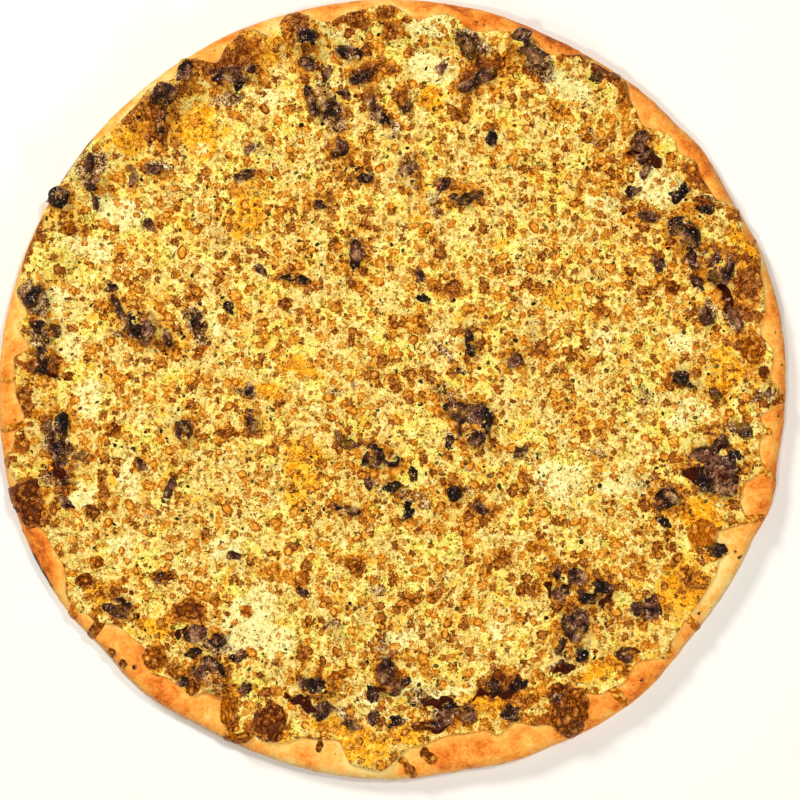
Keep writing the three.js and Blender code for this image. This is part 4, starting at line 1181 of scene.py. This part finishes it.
def scatter_layout(name, detail, finish, wobble, wobble_size):
    """A shape set on every point, with the point's own size, turn, lean and tone."""
    g = Layout(name, {"Wobble": wobble * MM, "Wobble size": wobble_size * MM})
    sphere = g.add("GeometryNodeMeshIcoSphere", {"Radius": 1.0, "Subdivisions": detail}).outputs["Mesh"]
    up = g.parts(g.place)["Z"]
    beside = g.calc("SQRT", g.calc("MAXIMUM", g.calc("SUBTRACT", 1.0, g.calc("MULTIPLY", up, up)), 0.0))
    shape = g.store(sphere, "rise", g.calc("SUBTRACT", 1.0, beside))
    lean = g.add("FunctionNodeAlignRotationToVector", {"Vector": g.read("lean", "FLOAT_VECTOR")}, axis="Z")
    turn = g.add("ShaderNodeCombineXYZ", {"Z": g.read("turn")})
    turned = g.add("FunctionNodeRotateRotation", {"Rotation": lean.outputs[0], "Rotate By": turn.outputs[0]},
                   rotation_space="LOCAL")
    placed = g.add("GeometryNodeInstanceOnPoints",
                   {"Points": g.given["Geometry"], "Instance": shape, "Rotation": turned.outputs[0],
                    "Scale": g.read("size", "FLOAT_VECTOR")})
    toned = g.store(placed.outputs[0], "tone", g.read("tone"), "INSTANCE")
    real = g.add("GeometryNodeRealizeInstances", {"Geometry": toned}).outputs[0]
    scale = g.calc("DIVIDE", 1.0, g.given["Wobble size"])
    grain = g.add("ShaderNodeTexNoise", {"Scale": scale, "Detail": 1.0}).outputs["Color"]
    push = g.scaled(g.vector("SUBTRACT", grain, MIDDLE_OF_NOISE), g.given["Wobble"])
    pushed = g.add("GeometryNodeSetPosition", {"Geometry": real, "Offset": push})
    g.end(pushed.outputs[0], finish)
    return g


def set_on_points(name, spots, detail, finish, wobble, wobble_size):
    """One piece that holds a small shape at every spot on the cheese."""
    carrier = make_object(name + "_spots", spots["at"], np.zeros((0, 3), int))
    for key, kind, field in (("size", "FLOAT_VECTOR", "vector"), ("lean", "FLOAT_VECTOR", "vector"),
                             ("turn", "FLOAT", "value"), ("tone", "FLOAT", "value")):
        layer = carrier.data.attributes.new(key, kind, "POINT")
        layer.data.foreach_set(field, np.asarray(spots[key], np.float32).ravel())
    piece = scatter_layout(name + "_layout", detail, finish, wobble, wobble_size).apply(carrier, name)
    return dress(piece, finish, "cheese")


def raise_blisters(carrier, name):
    """The sheet of cheese with its blisters standing up from it."""
    g = Layout(name + "_layout", {"Height": MM})
    height = blister_field(g, g.read("toast"))[1]
    lift = g.calc("MULTIPLY", g.calc("MULTIPLY", height, g.read("open")), g.given["Height"])
    up = g.add("ShaderNodeCombineXYZ", {"Z": lift}).outputs[0]
    raised = g.add("GeometryNodeSetPosition", {"Geometry": g.given["Geometry"], "Offset": up})
    g.end(raised.outputs[0], "cheese")
    return g.apply(carrier, name)


SLOPE_STEP = 0.8


def surface_lean(x, y):
    """Which way the cheese faces."""
    step = SLOPE_STEP
    slope_x = (cheese_surface(x + step, y) - cheese_surface(x - step, y)) / (2 * step)
    slope_y = (cheese_surface(x, y + step) - cheese_surface(x, y - step)) / (2 * step)
    lean = np.stack([-slope_x, -slope_y, np.ones(len(x))], 1)
    return lean / np.linalg.norm(lean, axis=1, keepdims=True)


def lying(x, y, lift, half_sizes, turn, tone):
    """Small shapes that lie on the cheese, a little above or below its top."""
    return {
        "at": np.stack([x, y, cheese_surface(x, y) + lift], 1),
        "size": np.stack(half_sizes, 1) * MM,
        "lean": surface_lean(x, y),
        "turn": turn,
        "tone": tone,
    }


STREWN_RADIUS = 175.0
STREWN_EDGE_ROOM = 2.0
TRIES = 4  # spots tried at once for each spot wanted


def strewn(rng, count, likely):
    """Random spots on the cheese, kept where likely(x, y) beats chance."""
    found = np.zeros((0, 2))
    while len(found) < count:
        radius = STREWN_RADIUS * np.sqrt(rng.random(TRIES * count))
        a = rng.random(TRIES * count) * 2 * math.pi
        x, y = radius * np.cos(a), radius * np.sin(a)
        inside = radius < cheese_radius(np.degrees(a)) - STREWN_EDGE_ROOM
        kept = inside & (rng.random(len(x)) < likely(x, y))
        found = np.concatenate([found, np.stack([x, y], 1)[kept]])
    return found[:count]


def spaced(spots, reach):
    """Drops the spots that lie too close to an earlier one, given each one's reach."""
    cell = reach.max() * 2
    taken, kept = {}, []
    for i, (x, y) in enumerate(spots):
        column, row = int(x // cell), int(y // cell)
        around = [(column + dx, row + dy) for dx in (-1, 0, 1) for dy in (-1, 0, 1)]
        near = [j for place in around for j in taken.get(place, ())]
        if all(math.hypot(x - spots[j][0], y - spots[j][1]) > reach[i] + reach[j] for j in near):
            taken.setdefault((column, row), []).append(i)
            kept.append(i)
    return np.array(kept)


# ---------------------------------------------------------------- blisters

def toasting(x, y):
    """Where the oven browned the cheese most, from 0 to 1."""
    broad = 0.5 + 0.5 * rough_noise(x / 20, y / 20, LAYER["broad heat"], 2)
    local = 0.5 + 0.5 * rough_noise(x / 8, y / 8, LAYER["local heat"], 2)
    placed = 0.5 * patchwork(BROWNED_PATCHES, x, y) - 0.5 * patchwork(PALE_PATCHES, x, y)
    return np.clip(0.55 * broad + 0.45 * local + placed, 0, 1)


def blister_likely(x, y):
    return 0.15 + 0.85 * toasting(x, y)


BARE_ROUND_STEAK = 1.5


def blister_spots(rng, count, small, large, flat, crowding, sink):
    """Blisters of many widths, more of them where the oven browned the cheese."""
    found = strewn(rng, count, blister_likely)
    width = small + (large - small) * rng.random(len(found)) ** 2.2
    kept = spaced(found, width * crowding / 2)
    found, width = found[kept], width[kept]
    away = steak_distance(found[:, 0], found[:, 1]) > BARE_ROUND_STEAK
    found, width = found[away], width[away]
    x, y = found.T
    long = width * (1 + 0.6 * rng.random(len(x)) ** 2)
    tone = 0.15 + 0.45 * rng.random(len(x)) + 0.3 * (toasting(x, y) - 0.5)
    sizes = (long / 2, width / 2, width * flat)
    spots = lying(x, y, -sink, sizes, rng.random(len(x)) * math.pi * 2, tone)
    return spots | {"width": width}


def heat_from(spots):
    """Browning of the cheese round its blisters."""
    tree = flat_tree([spot[:2] for spot in spots["at"]])
    width = spots["width"]

    def heat(x, y):
        """Hottest at the foot of a blister, and in the toasted places."""
        found = [tree.find((px, py, 0)) for px, py in zip(x, y)]
        gap = np.array([f[2] for f in found]) - np.array([width[f[1]] / 2 for f in found])
        return 0.25 * np.exp(-np.maximum(gap, 0) / 0.8) + 0.4 * (toasting(x, y) - 0.5)

    return heat


# ---------------------------------------------------------------- strands, crumbs and steak

def bubbled(seed, directions, bubbles):
    """How near each point of a ball is to the top of a bubble, from 0 to 1."""
    heads = np.random.default_rng(seed).normal(size=(bubbles, 3))
    heads /= np.linalg.norm(heads, axis=1, keepdims=True)
    return np.exp((directions @ heads.T - 1) * bubbles).max(axis=1)


LUMP_SINK = 0.3
FLAT_BELOW = 0.4  # how deep the lower half of a lump goes, beside its height


def lump_points(seed, spot, sizes, turn, shape, bubbles, ragged):
    """A bubbly lump that lies on the cheese, and how near each point is to a
    bubble's top. Its sizes are length, width and height."""
    length, width, height = sizes
    directions, faces = shape
    near = bubbled(seed, directions, bubbles)
    swell = 1 + ragged * rough_noise(*(directions.T * 1.5 + seed * 3.7), 3) + 0.2 * near
    local = directions * swell[:, None] * [length / 2, width / 2, height]
    a = math.radians(turn)
    x = local[:, 0] * math.cos(a) - local[:, 1] * math.sin(a) + spot[0]
    y = local[:, 0] * math.sin(a) + local[:, 1] * math.cos(a) + spot[1]
    above = np.where(local[:, 2] < 0, FLAT_BELOW * local[:, 2], local[:, 2])
    return np.stack([x, y, cheese_surface(x, y) + above - LUMP_SINK], 1), faces, near


def ball(detail):
    """Points and faces of a ball of radius 1."""
    mesh = bpy.data.meshes.new("ball")
    form = bmesh.new()
    bmesh.ops.create_icosphere(form, subdivisions=detail, radius=1)
    form.to_mesh(mesh)
    form.free()
    points = np.array([v.co[:] for v in mesh.vertices])
    faces = np.array([p.vertices[:] for p in mesh.polygons])
    bpy.data.meshes.remove(mesh)
    return points, faces


def gather(parts):
    """Many closed shapes as one list of points and faces."""
    points, faces, count = [], [], 0
    for part_points, part_faces in parts:
        points.append(part_points)
        faces.append(part_faces + count)
        count += len(part_points)
    return np.concatenate(points), np.concatenate(faces)


CRUMB_SHAPE = (1.1, 0.7, 0.3)  # length, width and height beside the crumb's size
CRUMB_BUBBLES = 12
CRUMB_RAGGED = 0.6
CRUMB_DETAIL = 4


def make_crumbs():
    """Crumbs of steak, each ragged in its own way."""
    shape = ball(CRUMB_DETAIL)
    parts = []
    for seed, (x, y, size) in enumerate(STEAK_CRUMBS):
        sizes = [share * size for share in CRUMB_SHAPE]
        any_turn = x * 10
        parts.append(lump_points(seed, (x, y), sizes, any_turn, shape, CRUMB_BUBBLES, CRUMB_RAGGED)[:2])
    return dress(make_object("steak_crumbs", *gather(parts)), "steak", "cheese")


LUMP_SEED = 100
LUMP_RAGGED = 0.3
LARGE_LUMP = 90  # length times width from which a lump has finer faces
LUMP_DETAIL = {"small": 4, "large": 5}


def make_lumps():
    """Folds and lumps of cheese that the oven browned and blistered."""
    shapes = {kind: ball(detail) for kind, detail in LUMP_DETAIL.items()}
    parts, tones, rises = [], [], []
    for i, (x, y, length, width, turn, tone) in enumerate(BROWNED_LUMPS):
        shape = shapes["large" if length * width > LARGE_LUMP else "small"]
        bubbles = 10 + round(length * width / 5)
        sizes = (length, width, 0.9 + 0.11 * width)
        points, faces, near = lump_points(LUMP_SEED + i, (x, y), sizes, turn, shape, bubbles, LUMP_RAGGED)
        parts.append((points, faces))
        tones.append(np.full(len(points), tone))
        rises.append(0.6 * near)
    looks = {"tone": np.concatenate(tones), "rise": np.concatenate(rises)}
    return dress(make_object("browned_lumps", *gather(parts), looks), "browned", "cheese")


THREAD_THICKNESS = 0.6
THREAD_STEPS = 28
THREAD_SIDES = 6


def thread_shape(row):
    """A thin curly tube that lies on the cheese."""
    x, y, length, turn, curl = row
    share = np.linspace(0, 1, THREAD_STEPS)
    heading = math.radians(turn) + curl * share + 2.2 * noise(share * 3.5, x, y)
    step = length / (THREAD_STEPS - 1)
    path_x = x + np.append(0, np.cumsum(np.cos(heading[:-1]) * step))
    path_y = y + np.append(0, np.cumsum(np.sin(heading[:-1]) * step))
    path_z = cheese_surface(path_x, path_y) + 0.3 + 0.6 * np.abs(noise(share * 5, y, x))
    thick = THREAD_THICKNESS / 2 * np.sqrt(np.maximum(1 - (2 * share - 1) ** 4, 0.08))
    turns = np.linspace(0, 2 * math.pi, THREAD_SIDES, endpoint=False)
    side = np.stack([-np.sin(heading), np.cos(heading), np.zeros(THREAD_STEPS)], 1)
    up = np.array([0, 0, 1])
    ring = np.cos(turns)[None, :, None] * side[:, None, :] + np.sin(turns)[None, :, None] * up
    middle = np.stack([path_x, path_y, path_z], 1)
    points = (middle[:, None, :] + thick[:, None, None] * ring).reshape(-1, 3)
    return np.concatenate([points, middle[[0, -1]]]), tube_faces(THREAD_STEPS, THREAD_SIDES)


def make_threads():
    threads = make_object("pale_threads", *gather([thread_shape(row) for row in PALE_THREADS]))
    return dress(threads, "thread", "cheese")


def strand_bubbles(x, y):
    return rough_noise(x / 1.5, y / 1.5, LAYER["strand bubbles"], 2)


STRAND_RINGS = 40
STRAND_SIDES = 20
STRAND_SINK = 0.55
STRAND_BUBBLE_FLOOR = -0.3


def strand_shape(row):
    """A flattened bead draped over the crust, that swells and closes again."""
    start_bearing, start_radius, end_bearing, end_radius, width = row
    a, b = math.radians(start_bearing), math.radians(end_bearing)
    start = np.array([start_radius * math.cos(a), start_radius * math.sin(a)])
    end = np.array([end_radius * math.cos(b), end_radius * math.sin(b)])
    along = (end - start) / np.linalg.norm(end - start)
    side = np.array([-along[1], along[0]])
    shares = np.linspace(0.02, 0.98, STRAND_RINGS)
    turns = np.linspace(0, 2 * math.pi, STRAND_SIDES, endpoint=False)
    wander = 0.12 * width * noise(shares * 3, start_bearing, LAYER["strand wander"])
    uneven = 1 + 0.25 * noise(shares * 5, start_bearing, LAYER["strand swell"])
    swell = np.sqrt(1 - (2 * shares - 1) ** 2) ** 0.6 * uneven
    middle = start + shares[:, None] * (end - start) + wander[:, None] * side
    across = np.cos(turns)[None, :] * (swell * width / 2)[:, None]
    spots = middle[:, None, :] + across[..., None] * side
    over = np.sin(turns)[None, :] * swell[:, None]
    ground = dough_height_at(spots[..., 0], spots[..., 1])
    bubbles = np.maximum(strand_bubbles(spots[..., 0], spots[..., 1]), STRAND_BUBBLE_FLOOR)
    height = ground - STRAND_SINK + np.maximum(over, -0.3) * (STRAND_HEIGHT + 0.4 + 0.6 * bubbles)
    points = np.concatenate([spots, height[..., None]], 2).reshape(-1, 3)
    tips = [[*tip, float(dough_height_at(*tip)) - 0.5] for tip in (start, end)]
    return np.concatenate([points, tips]), tube_faces(STRAND_RINGS, STRAND_SIDES)


def make_strands():
    points, faces = gather([strand_shape(row) for row in BROWNED_STRANDS])
    x, y = points[:, 0], points[:, 1]
    tone = 0.5 + 0.4 * noise(x / 9, y / 9, LAYER["strand tone"])
    rise = np.clip(0.3 + 0.7 * strand_bubbles(x, y), 0, 1)
    piece = make_object("browned_strands", points, faces, {"tone": tone, "rise": rise})
    return dress(piece, "browned", "crust")


STEAK_VOXEL = 0.55
STEAK_WELD = 0.01
TEAR_REACH = 2.6  # how far the sides of the steak are torn in


def fine_steak(node):
    """The solid of a steak with small even faces."""
    piece = bpy.data.objects.new("glazed_" + node, STEAK_NODES[node].data.copy())
    bpy.context.scene.collection.objects.link(piece)
    weld = piece.modifiers.new("weld", "WELD")
    weld.merge_threshold = STEAK_WELD * MM
    remesh = piece.modifiers.new("remesh", "REMESH")
    remesh.mode = "VOXEL"
    remesh.voxel_size = STEAK_VOXEL * MM
    soft = piece.modifiers.new("soften", "SMOOTH")
    soft.iterations = 2
    mesh = bpy.data.meshes.new_from_object(piece.evaluated_get(bpy.context.evaluated_depsgraph_get()))
    piece.modifiers.clear()
    piece.data = mesh
    return piece


def make_steak(node):
    """A piece of steak: the solid's form, torn and craggy."""
    piece = fine_steak(node)
    mesh = piece.data
    at, out = np.zeros(len(mesh.vertices) * 3), np.zeros(len(mesh.vertices) * 3)
    mesh.vertices.foreach_get("co", at)
    mesh.vertex_normals.foreach_get("vector", out)
    at, out = at.reshape(-1, 3) / MM, out.reshape(-1, 3)
    x, y, z = at.T
    crags = np.abs(rough_noise(x / 3.2, y / 3.2, z / 3.2 + 7, 3))
    pits = 0.5 + 0.5 * rough_noise(x / 1.4, y / 1.4, z / 1.4 + 19, 2)
    sideways = 1 - np.abs(out[:, 2])
    torn = TEAR_REACH * sideways * np.maximum(rough_noise(x / 4.5, y / 4.5, z / 9 + 3, 2), 0)
    cut = 0.85 * crags + 0.35 * pits + torn
    at -= out * np.clip(cut, 0, TEAR_REACH)[:, None]
    mesh.vertices.foreach_set("co", (at * MM).ravel())
    mesh.shade_smooth()
    return dress(piece, "steak", node)


def bit_spots(rng, count, small, large):
    """Small torn bits of steak, round the steak and in the meaty patches."""
    def likely(x, y):
        near = np.exp(-np.maximum(steak_distance(x, y) - 0.5, 0) / 3)
        return np.maximum(0.6 * near, patchwork(MEATY_PATCHES, x, y) ** 2)

    x, y = strewn(rng, count, likely).T
    long = small + (large - small) * rng.random(count) ** 2
    wide = long * (0.4 + 0.5 * rng.random(count))
    sizes = (long / 2, wide / 2, wide * 0.3)
    return lying(x, y, -0.05, sizes, rng.random(count) * math.pi * 2, rng.random(count))


# ---------------------------------------------------------------- herbs and pepper

LEAF_CURL = 0.72  # share of a leaf's width left once it has curled up
LEAF_THICKNESS = 0.28
LEAF_LIFT = 0.5


def fleck_likely(x, y):
    return 0.35 + 0.65 * smoothstep(noise(x / 30, y / 30, LAYER["flecks"]), -0.5, 0.6)


def fleck_spots(rng, count, small, large, slim, thin):
    """Flecks strewn over the cheese. The slimmest is slim times as wide as long."""
    x, y = strewn(rng, count, fleck_likely).T
    long = small + (large - small) * rng.random(count) ** 1.8
    wide = long * (slim + (1 - slim) * rng.random(count) ** 1.5)
    sizes = (long / 2, wide / 2, np.full(count, thin))
    return lying(x, y, 0.15, sizes, rng.random(count) * math.pi * 2, rng.random(count))


def herb_spots(rng):
    """Strewn flecks of herb, and the longest pieces as listed."""
    spots = fleck_spots(rng, count=1300, small=0.8, large=2.8, slim=0.2, thin=0.1)
    x, y, long, wide, turn = np.array(HERB_LEAVES, float).T
    sizes = (long / 2, LEAF_CURL * wide / 2, np.full(len(x), LEAF_THICKNESS / 2))
    leaves = lying(x, y, LEAF_LIFT, sizes, np.radians(turn), rng.random(len(x)))
    return {key: np.concatenate([values, leaves[key]]) for key, values in spots.items()}


# ---------------------------------------------------------------- the pizza

SEED = 8278
rng = np.random.default_rng(SEED)

large_blisters = blister_spots(rng, count=1000, small=2.0, large=4.8, flat=0.13, crowding=0.8, sink=0.1)
small_blisters = blister_spots(rng, count=2600, small=0.8, large=1.8, flat=0.16, crowding=0.5, sink=0.05)
make_crust()
heat = heat_from(large_blisters)
for sector in range(CHEESE_SECTORS):
    make_cheese_wedge(sector, heat)
set_on_points("large_blisters", large_blisters, detail=2, finish="browned",
              wobble=1.7, wobble_size=1.3)
set_on_points("small_blisters", small_blisters, detail=1, finish="browned",
              wobble=0.15, wobble_size=0.8)
bits = bit_spots(rng, count=1500, small=0.9, large=2.9)
set_on_points("steak_bits", bits, detail=1, finish="bits", wobble=1.1, wobble_size=0.9)
make_crumbs()
make_lumps()
make_strands()
make_threads()
for node_name in sorted(STEAK_NODES):
    make_steak(node_name)
pepper = fleck_spots(rng, count=5200, small=0.4, large=1.1, slim=0.5, thin=0.12)
set_on_points("pepper_flecks", pepper, detail=1, finish="pepper", wobble=0.1, wobble_size=0.4)
herbs = herb_spots(rng)
set_on_points("herb_flecks", herbs, detail=1, finish="herb", wobble=0.3, wobble_size=0.6)

# ---------------------------------------------------------------- floor, light and camera

FLOOR_SIDE = 4.0
FLOOR_DROP = 0.2 * MM


def make_floor():
    bpy.ops.mesh.primitive_plane_add(size=FLOOR_SIDE, location=(0, 0, -FLOOR_DROP))
    floor = bpy.context.object
    floor.name = "floor"
    f = Finish("pale floor", **{"Specular IOR Level": 0.2, "Roughness": 0.9})
    floor.data.materials.append(f.finish(colour=f.ramp(f.noise(40, 3), PALE_FLOOR)))


# Soft lamps that face the pizza: place and width in metres, watts, colour.
LIGHTS = {
    "window": ((-0.8, 0.9, 1.1), 0.35, 16, (1, 0.95, 0.84)),
    "lamp": ((0.35, 0.3, 1.1), 0.14, 5.3, (1, 0.94, 0.82)),
    "second_lamp": ((-0.3, -0.35, 1.15), 0.12, 4.4, (1, 0.94, 0.82)),
    "fill": ((0.6, -1.0, 0.8), 0.4, 5.7, (1, 0.95, 0.86)),
}


def make_light(name, place, size, power, tint):
    data = bpy.data.lights.new(name, "AREA")
    data.shape = "DISK"
    data.size = size
    data.energy = power
    data.color = tint
    light = bpy.data.objects.new(name, data)
    light.location = place
    light.rotation_euler = (-Vector(place)).to_track_quat("-Z", "Y").to_euler()
    bpy.context.scene.collection.objects.link(light)


PHOTO_PX = 800
PHOTO_MIDDLE = (392.6, 391.8)  # the pizza's middle in the photo
MM_PER_PX = 0.4558
LENS = 65.0
SENSOR = 36.0


def make_camera():
    """Straight above, where the photo was taken from."""
    data = bpy.data.cameras.new("camera")
    data.lens = LENS
    data.sensor_width = SENSOR
    camera = bpy.data.objects.new("camera", data)
    half_view = PHOTO_PX / 2 * MM_PER_PX * MM
    away = half_view / (SENSOR / 2 / LENS) + RIM_BULGE_HEIGHT * MM
    x = ((PHOTO_PX / 2 - PHOTO_MIDDLE[0]) * MM_PER_PX + OUTLINE_SHIFT[0]) * MM
    y = ((PHOTO_MIDDLE[1] - PHOTO_PX / 2) * MM_PER_PX + OUTLINE_SHIFT[1]) * MM
    camera.location = (x, y, away)
    bpy.context.scene.collection.objects.link(camera)
    bpy.context.scene.camera = camera


ROOM_TINT = (1, 0.97, 0.9, 1)
ROOM_STRENGTH = 0.09
PHOTO_GAMMA = 0.9


def make_room():
    world = bpy.data.worlds.new("room")
    world.use_nodes = True
    light = world.node_tree.nodes["Background"].inputs
    light["Color"].default_value = ROOM_TINT
    light["Strength"].default_value = ROOM_STRENGTH
    scene = bpy.context.scene
    scene.world = world
    scene.view_settings.view_transform = "Standard"
    scene.view_settings.gamma = PHOTO_GAMMA


make_floor()
for light_name, light in LIGHTS.items():
    make_light(light_name, *light)
make_camera()
make_room()
